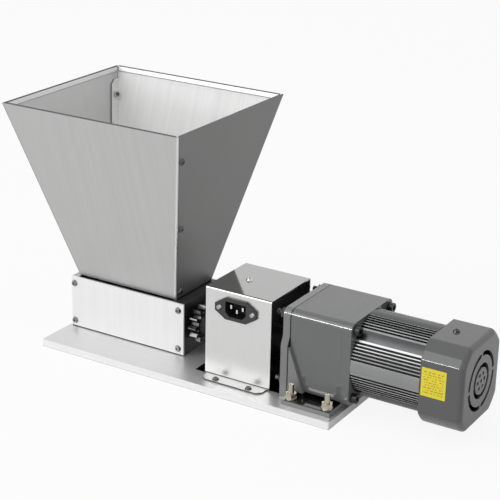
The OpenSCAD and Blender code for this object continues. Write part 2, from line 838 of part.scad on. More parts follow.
// Drawing of a slice of a ring between two angles, under 180 degrees wide
module slice(r0, r1, a0, a1) {
    far = 2 * r1;
    am = (a0 + a1) / 2;
    intersection() {
        difference() {
            circle(r = r1, $fn = round_fn);
            circle(r = r0, $fn = round_fn);
        }
        polygon([[0, 0], turned([far, 0], a0), turned([far, 0], am), turned([far, 0], a1)]);
    }
}

module jaws(x, phase) {
    translate([x, 0, 0]) along_x(coupling_jaw_l - seat)
        for (k = [0:jaw_count - 1]) let (a = phase + k * jaw_pitch)
            slice(jaw_bore_r, coupling_d / 2, a - jaw_half, a + jaw_half);
}

module coupling_hub_mill() color("silver") {
    translate([0, 0, drive_z]) difference() {
        union() {
            translate([coupling_x0, 0, 0]) rod_x(coupling_d, coupling_hub_l);
            jaws(coupling_x0 + coupling_hub_l, 0);
        }
        translate([coupling_x0 - over, 0, 0]) rod_x(roller_shaft_d + 2 * fit, coupling_hub_l + 2 * over);
        translate([coupling_x0 + coupling_hub_l / 2, 0, 0])
            cylinder(d = grub_d + 2 * fit, h = coupling_d, $fn = small_fn);
    }
}

module coupling_hub_motor() color("silver") {
    hub_x = coupling_x1 - coupling_hub_l;
    translate([0, 0, drive_z]) difference() {
        union() {
            translate([hub_x, 0, 0]) rod_x(coupling_d, coupling_hub_l);
            jaws(hub_x - coupling_jaw_l + seat, jaw_pitch / 2);
        }
        translate([hub_x - over, 0, 0]) rod_x(output_shaft_d + 2 * fit, coupling_hub_l + 2 * over);
        translate([hub_x - over, -key_w / 2 - fit, 0])
            cube([coupling_hub_l + 2 * over, key_w + 2 * fit, key_top + fit]);
        translate([coupling_x1 - coupling_hub_l / 2, 0, 0]) rotate([90, 0, 0])
            cylinder(d = grub_d + 2 * fit, h = coupling_d, $fn = small_fn);
    }
}

key_sunk = 3;
key_top = output_shaft_d / 2 - key_sunk + key_w;

module coupling_spider() color("dimgray") {
    translate([coupling_x0 + coupling_hub_l + seat, 0, drive_z]) along_x(coupling_jaw_l - 2 * seat) {
        difference() {
            circle(r = jaw_bore_r - seat, $fn = round_fn);
            circle(r = jaw_bore_r / 2, $fn = round_fn);
        }
        for (k = [0:2 * jaw_count - 1]) let (a = (k + 1 / 2) * jaw_pitch / 2)
            slice(jaw_bore_r * 2 / 3, coupling_d / 2 - seat, a - leg_angle / 2, a + leg_angle / 2);
    }
}

module coupling_screws() color("dimgray") {
    translate([coupling_x0 + coupling_hub_l / 2, 0, drive_z]) grub_screw(roller_shaft_d, coupling_d);
    translate([coupling_x1 - coupling_hub_l / 2, 0, drive_z]) rotate([90, 0, 0])
        grub_screw(output_shaft_d, coupling_d);
}

module output_shaft_key() color("gray") {
    block([key_x, -key_w / 2, drive_z + output_shaft_d / 2 - key_sunk],
        [key_x + key_l, key_w / 2, drive_z + key_top]);
}

// Frame section shared by the bracket, the gearbox and the motor's flange
bolt_pitch_share = 0.8167;
bolt_offset = frame_w * bolt_pitch_share / 2;
bolt_head_d = cap_head_share * bolt_d;
bolt_out = 3;
boss_d = 34;
boss_l = 3;
gusset_reach = 20;
gusset_rise = 52;
gusset_flat = 4;
gusset_slope = 9;

module frame_outline() {
    round_rect(frame_w, frame_w, frame_r);
}

module bolt_places() {
    for (y = [-1, 1], z = [-1, 1]) translate([0, y * bolt_offset, motor_z + z * bolt_offset]) children();
}

module bolt_cuts(x, l) {
    bolt_places() translate([x - over, 0, 0]) rod_x(bolt_d + 2 * fit, l + 2 * over, small_fn);
}

module motor_bracket() color("dimgray") {
    side_y = frame_w / 2 + gusset_t;
    web_top = foot_top + gusset_rise;
    difference() {
        union() {
            translate([bracket_x, 0, 0]) along_x(bracket_t) {
                translate([0, motor_z]) frame_outline();
                polygon([[-side_y, plate_t], [side_y, plate_t], [side_y, web_top],
                    [frame_w / 2, web_top + gusset_slope], [-frame_w / 2, web_top + gusset_slope],
                    [-side_y, web_top]]);
            }
            block([bracket_x, -frame_w / 2, plate_t], [ear_x1, frame_w / 2, foot_top]);
            block([ear_x0, -ear_y, plate_t], [ear_x1, ear_y, foot_top]);
            for (side = [-1, 1]) translate([0, side * (frame_w / 2 + gusset_t / 2) + gusset_t / 2, 0])
                rotate([90, 0, 0]) linear_extrude(gusset_t)
                    polygon([[bracket_x, plate_t], [gearbox_x + gusset_reach, plate_t],
                        [gearbox_x + gusset_reach, foot_top],
                        [gearbox_x + gusset_flat / 2, web_top - gusset_flat],
                        [gearbox_x, web_top], [bracket_x, web_top]]);
        }
        bolt_cuts(bracket_x, bracket_t);
        translate([bracket_x - over, 0, drive_z]) rod_x(boss_d + 2 * seat, bracket_t + 2 * over);
        for (x = stud_x, y = stud_y) translate([x, y, plate_t]) screw_hole(bolt_d, foot_t);
    }
}

nut_h = nut_h_share * bolt_d;
washer_t = 1.6;

module bracket_studs() color("lightgoldenrodyellow") {
    for (x = stud_x, y = stud_y) translate([x, y, 0]) foot_screw(bolt_d, foot_top + stud_h);
}

module bracket_washers() color("lightgoldenrodyellow") {
    for (x = stud_x, y = stud_y) translate([x, y, foot_top]) difference() {
        cylinder(d = washer_share * bolt_d, h = washer_t, $fn = small_fn);
        screw_hole(bolt_d, washer_t);
    }
}

module bracket_nuts() color("lightgoldenrodyellow") {
    for (x = stud_x, y = stud_y) translate([x, y, foot_top + washer_t]) hex_nut(bolt_d, nut_h);
}

// Gearbox: hollow square housing with a bearing seat in its front wall
gear_wall = 10;
shell_wall = 3;
bolt_wall = 3.4;
cavity_r = norm([bolt_offset, bolt_offset]) - bolt_d / 2 - bolt_wall;
bearing_d = 32;
bearing_w = 9;
pinion_teeth = 12;
wheel_teeth = 36;
// The train's module follows the frame that its gears have to fit in
modules_across = 90;
train_module = frame_w / modules_across;
train_pitch = train_module * (pinion_teeth + wheel_teeth) / 2;
mid_shaft_y = sqrt(pow(train_pitch, 2) - pow(shaft_drop / 2, 2));
mid_shaft_z = motor_z - shaft_drop / 2;
mid_shaft_d = 8;
journal_d = 8;
output_wheel_w = 12;
wheel_gap = 2.5;
mid_plate_gap = 3;
output_wheel_x = gearbox_x + gear_wall + wheel_gap;
mid_plate_x = output_wheel_x + output_wheel_w + mid_plate_gap;
mid_plate_t = 6;
mid_wheel_x = mid_plate_x + mid_plate_t + wheel_gap;
// Room round a shaft where it passes through a wall
shaft_clear = 1;
mid_wheel_w = 8;
mid_blind = 7;

module cavity_outline() {
    intersection() {
        square(frame_w - 2 * shell_wall, center = true);
        circle(r = cavity_r, $fn = 96);
    }
}

module gearbox_housing() color("dimgray") {
    difference() {
        union() {
            translate([gearbox_x, 0, motor_z]) along_x(gearbox_l) frame_outline();
            translate([gearbox_x - boss_l, 0, drive_z]) rod_x(boss_d, boss_l + over);
        }
        translate([gearbox_x + gear_wall, 0, motor_z]) along_x(gearbox_l) cavity_outline();
        bolt_cuts(gearbox_x, gearbox_l);
        translate([gearbox_x - boss_l - over, 0, drive_z])
            rod_x(output_shaft_d + 2 * shaft_clear, gear_wall + boss_l + 2 * over);
        translate([gearbox_x + gear_wall - bearing_w, 0, drive_z])
            rod_x(bearing_d + 2 * fit, bearing_w + over);
        translate([gearbox_x + gear_wall - mid_blind, mid_shaft_y, mid_shaft_z])
            rod_x(mid_shaft_d + 2 * run, mid_blind + over, small_fn);
    }
}

module output_bearing() color("silver") {
    translate([gearbox_x + gear_wall - bearing_w, 0, drive_z])
        ring_x(bearing_d, output_shaft_d + 2 * run, bearing_w);
}

module gearbox_mid_plate() color("gray") {
    difference() {
        translate([mid_plate_x, 0, motor_z]) along_x(mid_plate_t) offset_cavity();
        translate([mid_plate_x - over, 0, drive_z])
            rod_x(journal_d + 2 * run, mid_plate_t + 2 * over, small_fn);
        translate([mid_plate_x - over, mid_shaft_y, mid_shaft_z])
            rod_x(mid_shaft_d + 2 * run, mid_plate_t + 2 * over, small_fn);
    }
}

// The cavity's outline, smaller by the fit all round
module offset_cavity() {
    intersection() {
        square(frame_w - 2 * shell_wall - 2 * fit, center = true);
        circle(r = cavity_r - fit, $fn = 96);
    }
}

module output_shaft() color("silver") {
    wheel_end = output_wheel_x + output_wheel_w;
    translate([0, 0, drive_z]) difference() {
        union() {
            translate([output_shaft_end, 0, 0])
                rod_x(output_shaft_d, wheel_end - output_shaft_end);
            translate([wheel_end - over, 0, 0])
                rod_x(journal_d, over + mid_plate_x + mid_plate_t - wheel_end, small_fn);
        }
        translate([key_x - fit, -key_w / 2 - fit, output_shaft_d / 2 - key_sunk])
            cube([key_l + 2 * fit, key_w + 2 * fit, key_w]);
    }
}

module output_wheel() color("gray") {
    translate([output_wheel_x, 0, drive_z]) difference() {
        along_x(output_wheel_w) rotate(mid_angle + 180 / wheel_teeth) spur_gear(train_module, wheel_teeth);
        translate([-over, 0, 0]) rod_x(output_shaft_d + 2 * fit, output_wheel_w + 2 * over);
    }
}

// Direction from the output shaft to the intermediate shaft, in Y and Z
mid_angle = atan2(mid_shaft_z - drive_z, mid_shaft_y);
rotor_angle = atan2(motor_z - mid_shaft_z, -mid_shaft_y);

module intermediate_shaft() color("silver") {
    x0 = gearbox_x + gear_wall - mid_blind + seat;
    translate([0, mid_shaft_y, mid_shaft_z]) {
        translate([x0, 0, 0]) rod_x(mid_shaft_d, mid_wheel_x + mid_wheel_w - x0, small_fn);
        translate([output_wheel_x - over / 2, 0, 0]) along_x(output_wheel_w + over)
            rotate(mid_angle + 180) spur_gear(train_module, pinion_teeth);
    }
}

module intermediate_wheel() color("gray") {
    translate([mid_wheel_x, mid_shaft_y, mid_shaft_z]) difference() {
        along_x(mid_wheel_w) rotate(rotor_angle) spur_gear(train_module, wheel_teeth);
        translate([-over, 0, 0]) rod_x(mid_shaft_d + 2 * fit, mid_wheel_w + 2 * over, small_fn);
    }
}

module gearbox_bolts() color("black") {
    head_x = motor_x;
    tail_x = bracket_x - nut_h - bolt_out;
    bolt_places() difference() {
        union() {
            translate([tail_x, 0, 0]) rod_x(bolt_d, head_x + over - tail_x, small_fn);
            translate([head_x, 0, 0]) rod_x(bolt_head_d, bolt_d, small_fn);
        }
        translate([head_x + bolt_d / 2, 0, 0]) rod_x(cap_socket_share * bolt_d, bolt_d, 6);
    }
}

module gearbox_bolt_nuts() color("black") {
    bolt_places() translate([bracket_x - nut_h, 0, 0]) rotate([0, 90, 0]) hex_nut(bolt_d, nut_h);
}

// Motor: flange, finned body, stator, rotor, end bell, fan and fan cover
rotor_shaft_d = 12;
rotor_bearing_d = 28;
rotor_bearing_w = 8;
pinion_len = 11;
pinion_out = 1;
neck_d = 9;
neck_clear = 2;
motor_d = frame_w;
body_wall = 4.5;
body_inner_d = motor_d - 2 * body_wall;
stator_d = body_inner_d - 2 * fit;
stator_ring_w = 16.1;
stator_bore = stator_d - 2 * stator_ring_w;
stator_left = 14;
stator_right = 16.5;
stator_l = motor_l - stator_left - stator_right;
air_gap = 0.4;
winding_l = 9;
winding_inset = 3.4;
winding_od = stator_d - 2 * winding_inset;
winding_id = stator_bore + 2 * winding_inset;
stator_x = motor_x + stator_left;
cover_wall = 2.5;
lug_t = 5;
bell_t = 6;
bell_x = cover_x;
fan_gap = 5;
fan_x = bell_x + bell_t + fan_gap;
fan_l = 18;
fan_clear = 1.5;
fan_d = frame_w - 2 * (cover_wall + lug_t + fan_clear);
fan_hub_d = 24;
fan_disc_t = 2;
fan_seat = 1;
blade_count = 8;
fan_blade_t = 2;

module motor_flange() color("dimgray") {
    seat_x = motor_x - rotor_bearing_w - bearing_back;
    difference() {
        translate([flange_x, 0, motor_z]) along_x(motor_flange_t) frame_outline();
        bolt_cuts(flange_x, motor_flange_t);
        translate([flange_x - over, 0, motor_z]) rod_x(neck_d + 2 * neck_clear, motor_flange_t + 2 * over);
        translate([seat_x, 0, motor_z])
            rod_x(rotor_bearing_d + 2 * fit, rotor_bearing_w + bearing_back + over);
    }
}

bearing_back = 1;
rear_bearing_in = 3;

module rotor_bearings() color("silver") {
    for (x = [motor_x - rotor_bearing_w - bearing_back, bell_x - rotor_bearing_w + rear_bearing_in])
        translate([x, 0, motor_z]) ring_x(rotor_bearing_d, rotor_shaft_d + 2 * run, rotor_bearing_w);
}

// Finned body: grooves stand in groups, with smooth bands between the groups
groove_w = 2.1;
groove_depth = 2.4;
groove_groups = 8;
grooves_per_group = 6;
groove_step = 4.4;
groove_start = 22.5;

module motor_housing() color("dimgray") {
    translate([motor_x, 0, motor_z]) along_x(motor_l) difference() {
        circle(d = motor_d, $fn = 128);
        circle(d = body_inner_d, $fn = 96);
        for (g = [0:groove_groups - 1], k = [0:grooves_per_group - 1])
            rotate(groove_start + g * 360 / groove_groups + (k - (grooves_per_group - 1) / 2) * groove_step)
                translate([motor_d / 2 - groove_depth, -groove_w / 2])
                    square([groove_depth + over, groove_w]);
    }
}

module stator_core() color("slategray") {
    translate([stator_x, 0, motor_z]) ring_x(stator_d, stator_bore, stator_l);
}

module stator_windings() color("peru") {
    for (x = [stator_x - winding_l, stator_x + stator_l])
        translate([x, 0, motor_z]) ring_x(winding_od, winding_id, winding_l);
}

module rotor_core() color("slategray") {
    translate([stator_x, 0, motor_z]) ring_x(stator_bore - 2 * air_gap, rotor_shaft_d + 2 * fit, stator_l);
}

module rotor_shaft() color("silver") {
    pinion_x = mid_wheel_x - pinion_out;
    body_x = motor_x - rotor_bearing_w - bearing_back;
    translate([0, 0, motor_z]) {
        translate([pinion_x, 0, 0]) along_x(pinion_len) rotate(rotor_angle + 180 + 180 / pinion_teeth)
            spur_gear(train_module, pinion_teeth);
        translate([pinion_x + pinion_len - over, 0, 0])
            rod_x(neck_d, body_x + 2 * over - pinion_x - pinion_len);
        translate([body_x, 0, 0]) rod_x(rotor_shaft_d, fan_x + fan_l - fan_seat - body_x);
    }
}

module cooling_fan() color("dimgray") {
    translate([fan_x, 0, motor_z]) difference() {
        union() {
            rod_x(fan_hub_d, fan_l);
            rod_x(fan_d, fan_disc_t);
            along_x(fan_l) intersection() {
                circle(d = fan_d, $fn = round_fn);
                for (k = [0:blade_count - 1]) rotate(k * 360 / blade_count)
                    translate([0, -fan_blade_t / 2]) square([fan_d, fan_blade_t]);
            }
        }
        translate([-over, 0, 0]) rod_x(rotor_shaft_d + 2 * fit, fan_l + 2 * over);
    }
}

// End bell with three lugs that carry the fan cover
lug_angles = [0, 90, 270];
lug_w = 14;
lug_l = 16;
cover_corner_reach = 8;
cover_corner_r = frame_w / 2 + cover_corner_reach;
cover_round = 5.5;
cover_screw_edge = 6;
cover_screw_x = bell_x + bell_t + lug_l - cover_screw_edge;
cover_screw_len = 6;
bell_spigot = 5;

module cover_outline(inset) {
    intersection() {
        square(frame_w - 2 * inset, center = true);
        circle(r = cover_corner_r - inset, $fn = 96);
    }
}

module motor_end_bell() color("gray") {
    difference() {
        union() {
            translate([bell_x, 0, motor_z]) along_x(bell_t) cover_outline(cover_wall + fit);
            translate([bell_x - bell_spigot, 0, motor_z]) rod_x(body_inner_d - 2 * fit, bell_spigot + over);
            translate([bell_x, 0, motor_z]) for (a = lug_angles) rotate([a, 0, 0])
                block([0, frame_w / 2 - cover_wall - fit - lug_t, -lug_w / 2],
                    [bell_t + lug_l, frame_w / 2 - cover_wall - fit, lug_w / 2]);
        }
        translate([bell_x - bell_spigot - over, 0, motor_z])
            rod_x(rotor_shaft_d + 2 * shaft_clear, bell_spigot + bell_t + 2 * over);
        translate([bell_x - rotor_bearing_w + rear_bearing_in - over, 0, motor_z])
            rod_x(rotor_bearing_d + 2 * fit, rotor_bearing_w + over);
        translate([cover_screw_x, 0, motor_z]) for (a = lug_angles) rotate([a - 90, 0, 0])
            cylinder(d = screw_d + 2 * fit, h = frame_w, $fn = small_fn);
    }
}

// Vents in the end of the fan cover: rings of slots round a ring of holes
vent_margin = 14;
vent_slot_w = 4.5;
vent_ring_step = 12.5;
vent_ring_count = 2;
vent_slots = 4;
vent_gap = 14;
vent_turn = 5;
vent_hole_d = 4;
vent_hole_count = 6;
vent_hole_r = 8;
round_steps = 3;

module fan_cover() color("dimgray") {
    difference() {
        translate([cover_x, 0, motor_z]) hull() {
            along_x(fan_cover_l - cover_round) cover_outline(0);
            for (k = [1:round_steps]) let (a = 90 * k / round_steps)
                translate([fan_cover_l - cover_round, 0, 0]) along_x(cover_round * sin(a))
                    cover_outline(cover_round * (1 - cos(a)));
        }
        translate([cover_x - over, 0, motor_z])
            along_x(fan_cover_l + over - cover_wall) cover_outline(cover_wall);
        translate([end_x - cover_wall - over, 0, motor_z]) {
            along_x(cover_wall + 2 * over) rotate(vent_turn)
                for (n = [0:vent_ring_count - 1], k = [0:vent_slots - 1])
                    let (r = frame_w / 2 - vent_margin - n * vent_ring_step, a = 360 / vent_slots)
                        slice(r - vent_slot_w, r, k * a + vent_gap / 2, (k + 1) * a - vent_gap / 2);
            rod_x(vent_hole_d, cover_wall + 2 * over);
            for (k = [0:vent_hole_count - 1]) rotate([k * 360 / vent_hole_count, 0, 0])
                translate([0, 0, vent_hole_r]) rod_x(vent_hole_d, cover_wall + 2 * over);
        }
        translate([cover_screw_x, 0, motor_z]) for (a = lug_angles) rotate([a - 90, 0, 0])
            cylinder(d = screw_d + 2 * fit, h = frame_w, $fn = small_fn);
    }
}

module fan_cover_screws() color("silver") {
    translate([cover_screw_x, 0, motor_z]) for (a = lug_angles) rotate([a - 90, 0, 0])
        translate([0, 0, frame_w / 2]) button_screw(screw_d, cover_screw_len);
}

// Plain rating label on the flat front of the fan cover
label_l = 26;
label_h = 30;
label_t = 0.3;
label_left = 2;
label_x = cover_x + label_left;
label_rise = 6.5;

module rating_label() color("gold") {
    block([label_x, -frame_w / 2 - label_t, motor_z + label_rise - label_h / 2],
        [label_x + label_l, -frame_w / 2, motor_z + label_rise + label_h / 2]);
}

base_plate();
mill_left_plate();
mill_right_plate();
mill_front_plate();
mill_back_plate();
cover_plate_screws();
mill_foot_screws();
left_bushes();
right_bushes();
drive_roller();
driven_roller();
drive_roller_gear();
driven_roller_gear();
drive_gear_screw();
driven_gear_screw();
hopper_front_sheet();
hopper_back_sheet();
hopper_screws();
hopper_nuts();
hopper_mount_screws();
box_cover();
box_foot_screws();
box_top_screw();
run_capacitor();
inlet_socket();
inlet_pins();
inlet_screws();
inlet_nuts();
coupling_hub_mill();
coupling_spider();
coupling_hub_motor();
coupling_screws();
motor_bracket();
bracket_studs();
bracket_nuts();
bracket_washers();
gearbox_housing();
gearbox_mid_plate();
gearbox_bolts();
gearbox_bolt_nuts();
output_shaft();
output_shaft_key();
output_wheel();
output_bearing();
intermediate_shaft();
intermediate_wheel();
motor_flange();
rotor_bearings();
motor_housing();
stator_core();
stator_windings();
rotor_shaft();
rotor_core();
cooling_fan();
motor_end_bell();
fan_cover();
fan_cover_screws();
rating_label();
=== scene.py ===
# Electric two-roller grain mill: materials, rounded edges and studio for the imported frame.
import json
import math

import bmesh
import bpy
from mathutils import Matrix, Vector

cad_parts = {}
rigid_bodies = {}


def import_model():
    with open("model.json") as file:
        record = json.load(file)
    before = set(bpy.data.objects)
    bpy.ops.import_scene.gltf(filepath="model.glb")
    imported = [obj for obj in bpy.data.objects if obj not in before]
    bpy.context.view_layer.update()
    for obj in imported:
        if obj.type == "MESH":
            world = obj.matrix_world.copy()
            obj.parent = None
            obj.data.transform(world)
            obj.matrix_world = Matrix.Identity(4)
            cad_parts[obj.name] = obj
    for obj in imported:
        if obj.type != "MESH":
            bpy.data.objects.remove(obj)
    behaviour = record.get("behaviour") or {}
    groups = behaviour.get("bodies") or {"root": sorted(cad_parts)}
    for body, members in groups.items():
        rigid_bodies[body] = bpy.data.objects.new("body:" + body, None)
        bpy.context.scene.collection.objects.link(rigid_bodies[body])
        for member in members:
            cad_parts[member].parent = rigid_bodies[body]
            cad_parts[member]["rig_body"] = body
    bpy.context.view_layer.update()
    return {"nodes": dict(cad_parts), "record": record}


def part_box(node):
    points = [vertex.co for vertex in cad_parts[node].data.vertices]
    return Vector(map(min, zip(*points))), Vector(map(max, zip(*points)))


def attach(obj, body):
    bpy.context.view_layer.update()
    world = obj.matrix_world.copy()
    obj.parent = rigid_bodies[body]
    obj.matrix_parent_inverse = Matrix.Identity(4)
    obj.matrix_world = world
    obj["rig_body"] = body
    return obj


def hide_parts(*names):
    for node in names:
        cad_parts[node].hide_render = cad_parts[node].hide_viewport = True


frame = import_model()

nodes = frame["nodes"]
MM = 0.001


def placed(name, data):
    """A new object in the scene."""
    piece = bpy.data.objects.new(name, data)
    bpy.context.scene.collection.objects.link(piece)
    return piece


# Camera at the photograph's view, lengths in metres
IMAGE_PX = 500
SENSOR_MM = 36
FOCAL_PX = 1507.33
AZIMUTH = math.radians(31.046)
ELEVATION = math.radians(20.792)
ROLL = math.radians(1.293)
DISTANCE = 1.63865
AIM_RIGHT = 0.03757
AIM_UP = 0.12063
CLIP_END = 50


def make_camera():
    """Looks along the fitted direction, with the aim shifted sideways and up."""
    back = Vector((math.sin(AZIMUTH) * math.cos(ELEVATION), -math.cos(AZIMUTH) * math.cos(ELEVATION),
                   math.sin(ELEVATION)))
    level = Vector((math.cos(AZIMUTH), math.sin(AZIMUTH), 0))
    upright = back.cross(level)
    right = math.cos(ROLL) * level + math.sin(ROLL) * upright
    up = math.cos(ROLL) * upright - math.sin(ROLL) * level
    data = bpy.data.cameras.new("camera")
    data.sensor_width = SENSOR_MM
    data.lens = FOCAL_PX / IMAGE_PX * SENSOR_MM
    data.clip_end = CLIP_END
    camera = placed("camera", data)
    turn = Matrix((right, up, back)).transposed().to_4x4()
    camera.matrix_world = Matrix.Translation(back * DISTANCE + right * AIM_RIGHT + up * AIM_UP) @ turn
    bpy.context.scene.camera = camera


make_camera()


# Node helpers for the materials
class Nodes:
    """A short way to build a node tree."""

    def __init__(self, tree):
        self.tree = tree

    def add(self, kind, inputs=None, **settings):
        node = self.tree.nodes.new(kind)
        for name, value in settings.items():
            setattr(node, name, value)
        for name, value in (inputs or {}).items():
            if isinstance(value, bpy.types.NodeSocket):
                self.tree.links.new(value, node.inputs[name])
            else:
                node.inputs[name].default_value = value
        return node

    def link(self, source, target):
        self.tree.links.new(source, target)

    def ramp(self, factor, stops):
        node = self.add("ShaderNodeValToRGB", {"Fac": factor})
        elements = node.color_ramp.elements
        while len(elements) < len(stops):
            elements.new(0.5)
        for element, (place, value) in zip(elements, stops):
            element.position = place
            element.color = (*value, 1) if isinstance(value, tuple) else (value, value, value, 1)
        return node.outputs["Color"]

    def blend(self, factor, one, two):
        """A colour mixed from two."""
        return self.add("ShaderNodeMix", {0: factor, 6: one, 7: two}, data_type="RGBA").outputs[2]

    def math(self, operation, *values):
        return self.add("ShaderNodeMath", dict(enumerate(values)), operation=operation).outputs["Value"]

    def axes(self):
        """Object coordinates, one by one."""
        place = self.add("ShaderNodeTexCoord").outputs["Object"]
        return self.add("ShaderNodeSeparateXYZ", {"Vector": place}).outputs

    def scaled(self, scale):
        """Object coordinates, stretched by scale."""
        place = self.add("ShaderNodeTexCoord").outputs["Object"]
        return self.add("ShaderNodeMapping", {"Vector": place, "Scale": scale}).outputs["Vector"]

    def noise(self, vector, scale, detail=3.0, roughness=0.55):
        inputs = {"Vector": vector, "Scale": scale, "Detail": detail, "Roughness": roughness}
        return self.add("ShaderNodeTexNoise", inputs).outputs["Fac"]


def new_material(name):
    """A material with one shader, its node tree and the shader."""
    material = bpy.data.materials.new(name)
    material.use_nodes = True
    tree = Nodes(material.node_tree)
    material.node_tree.nodes.clear()
    shader = tree.add("ShaderNodeBsdfPrincipled")
    output = tree.add("ShaderNodeOutputMaterial")
    tree.link(shader.outputs["BSDF"], output.inputs["Surface"])
    return material, tree, shader


# Range that most of a noise lies in
NOISE_LOW = 0.25
NOISE_HIGH = 0.75
# Grey level of the painted shade in a dark mark
SHADE_GREY = 0.004


def tinted(tree, fac, color, low, high):
    """A colour that runs from low to high times itself over the range of a noise."""
    dark = tuple(c * low for c in color)
    light = tuple(min(1, c * high) for c in color)
    return tree.ramp(fac, [(NOISE_LOW, dark), (NOISE_HIGH, light)])


def roughened(tree, shader, fac, low, high, noise_low=NOISE_LOW, noise_high=NOISE_HIGH):
    """Roughness that runs from low to high over the range of a noise."""
    rough = tree.add("ShaderNodeMapRange", {"Value": fac, "From Min": noise_low, "From Max": noise_high,
                                            "To Min": low, "To Max": high})
    tree.link(rough.outputs["Result"], shader.inputs["Roughness"])


def bumped(tree, shader, height, distance):
    """Fine relief of a surface, distance deep in metres."""
    bump = tree.add("ShaderNodeBump", {"Height": height, "Distance": distance, "Strength": 1.0})
    tree.link(bump.outputs["Normal"], shader.inputs["Normal"])


def paint_shade(tree, shade, marks, left=SHADE_GREY):
    """Paints shade: darkens boxes of a surface to the grey level left. Each mark is a few ranges, as axis,
    from and to in metres.
    """
    place = tree.axes()
    for mark in marks:
        mask = 1.0
        for axis, a, b in mark:
            inside = tree.math("COMPARE", place[axis], (a + b) / 2, (b - a) / 2)
            mask = tree.math("MULTIPLY", inside, mask)
        shade = tree.blend(mask, shade, (left, left, left, 1))
    return shade


# Brushed metal: broad scratches against fine ones, and the patches of its gloss
BROAD_SCALE = 0.12
BROAD_SHARE = 0.4
PATCH_SCALE = 9
PATCH_SHARE = 0.35


def brushed(name, color, grain, roughness, spread=0.06, depth=0.00003, contrast=0.05, metallic=1.0,
            marks=(), left=SHADE_GREY):
    """Brushed metal, with painted shade in the boxes of marks. grain is how fast the scratches change along
    X, Y and Z, per metre.
    """
    material, tree, shader = new_material(name)
    fine = tree.noise(tree.scaled(grain), 1.0, 4.0, 0.7)
    broad = tree.noise(tree.scaled(tuple(g * BROAD_SCALE for g in grain)), 1.0, 2.0)
    patch = tree.noise(tree.scaled((PATCH_SCALE, PATCH_SCALE, PATCH_SCALE)), 1.0, 2.0)
    streaks = tree.add("ShaderNodeMix", {"Factor": BROAD_SHARE, "A": fine, "B": broad}).outputs["Result"]
    shade = tinted(tree, streaks, color, 1 - contrast, 1 + contrast)
    tree.link(paint_shade(tree, shade, marks, left), shader.inputs["Base Color"])
    mixed = tree.add("ShaderNodeMix", {"Factor": PATCH_SHARE, "A": streaks, "B": patch}).outputs["Result"]
    roughened(tree, shader, mixed, roughness - spread, roughness + spread)
    shader.inputs["Metallic"].default_value = metallic
    bumped(tree, shader, fine, depth)
    return material


SMUDGE_SCALE = 60


def metal(name, color, roughness, mottle=0.06, depth=0.00002, scale=900):
    """Plain machined, plated or cast metal."""
    material, tree, shader = new_material(name)
    place = tree.scaled((1, 1, 1))
    speck = tree.noise(place, scale)
    smudge = tree.noise(place, SMUDGE_SCALE)
    tree.link(tinted(tree, smudge, color, 1 - mottle, 1 + mottle), shader.inputs["Base Color"])
    roughened(tree, shader, smudge, roughness * 0.8, roughness * 1.2)
    shader.inputs["Metallic"].default_value = 1.0
    if depth:
        bumped(tree, shader, speck, depth)
    return material


# Skin of paint, plastic and rubber
PEEL_DEPTH = 0.00001
PEEL_SCALE = 300
CLOUD_SCALE = 25
CLOUD_CONTRAST = 0.04
COAT_ROUGHNESS = 0.05


def coated(name, color, roughness, coat=0.0, specular=0.5, marks=()):
    """Paint, plastic or rubber with a fine uneven skin, and painted shade in the boxes of marks."""
    material, tree, shader = new_material(name)
    place = tree.scaled((1, 1, 1))
    skin = tree.noise(place, PEEL_SCALE, 2.0)
    cloud = tree.noise(place, CLOUD_SCALE)
    shade = tinted(tree, cloud, color, 1 - CLOUD_CONTRAST, 1 + CLOUD_CONTRAST)
    tree.link(paint_shade(tree, shade, marks), shader.inputs["Base Color"])
    roughened(tree, shader, skin, roughness * 0.88, roughness * 1.12, 0.3, 0.7)
    shader.inputs["Specular IOR Level"].default_value = specular
    shader.inputs["Coat Weight"].default_value = coat
    shader.inputs["Coat Roughness"].default_value = COAT_ROUGHNESS
    bumped(tree, shader, skin, PEEL_DEPTH)
    return material


LABEL_ROW = 2.7 * MM
LABEL_MARGIN = 2.5 * MM
# Share of a row that is inked, and how the dashes change along X and from row to row
LABEL_INKED = 0.45
DASH_SCALE = (620, 7.3, 1)
DASH_LEVEL = 0.48
LABEL_ROUGHNESS = 0.3


def printed_label(name, color, ink, low, high):
    """A label with ruled rows of plain dashes between two corners, in X and Z."""
    material, tree, shader = new_material(name)
    place = tree.axes()
    rows = tree.math("DIVIDE", place["Z"], LABEL_ROW)
    ruled = tree.math("LESS_THAN", tree.math("FRACT", rows), LABEL_INKED)
    cell = tree.add("ShaderNodeCombineXYZ", {"X": place["X"], "Y": tree.math("FLOOR", rows)})
    spread = tree.add("ShaderNodeMapping", {"Vector": cell.outputs["Vector"], "Scale": DASH_SCALE})
    dashes = tree.math("GREATER_THAN", tree.noise(spread.outputs["Vector"], 1.0, 0.0), DASH_LEVEL)
    marks = tree.math("MULTIPLY", ruled, dashes)
    for axis, a, b in (("X", low.x, high.x), ("Z", low.z, high.z)):
        inside = tree.math("COMPARE", place[axis], (a + b) / 2, (b - a) / 2 - LABEL_MARGIN)
        marks = tree.math("MULTIPLY", marks, inside)
    shade = tree.blend(marks, (*color, 1), (*ink, 1))
    tree.link(shade, shader.inputs["Base Color"])
    shader.inputs["Roughness"].default_value = LABEL_ROUGHNESS
    return material


# Grain directions: fast across the brushing, slow along it
ACROSS_X = (1400, 30, 6)
ACROSS_Y = (30, 1400, 6)
ALONG_X = (6, 900, 900)
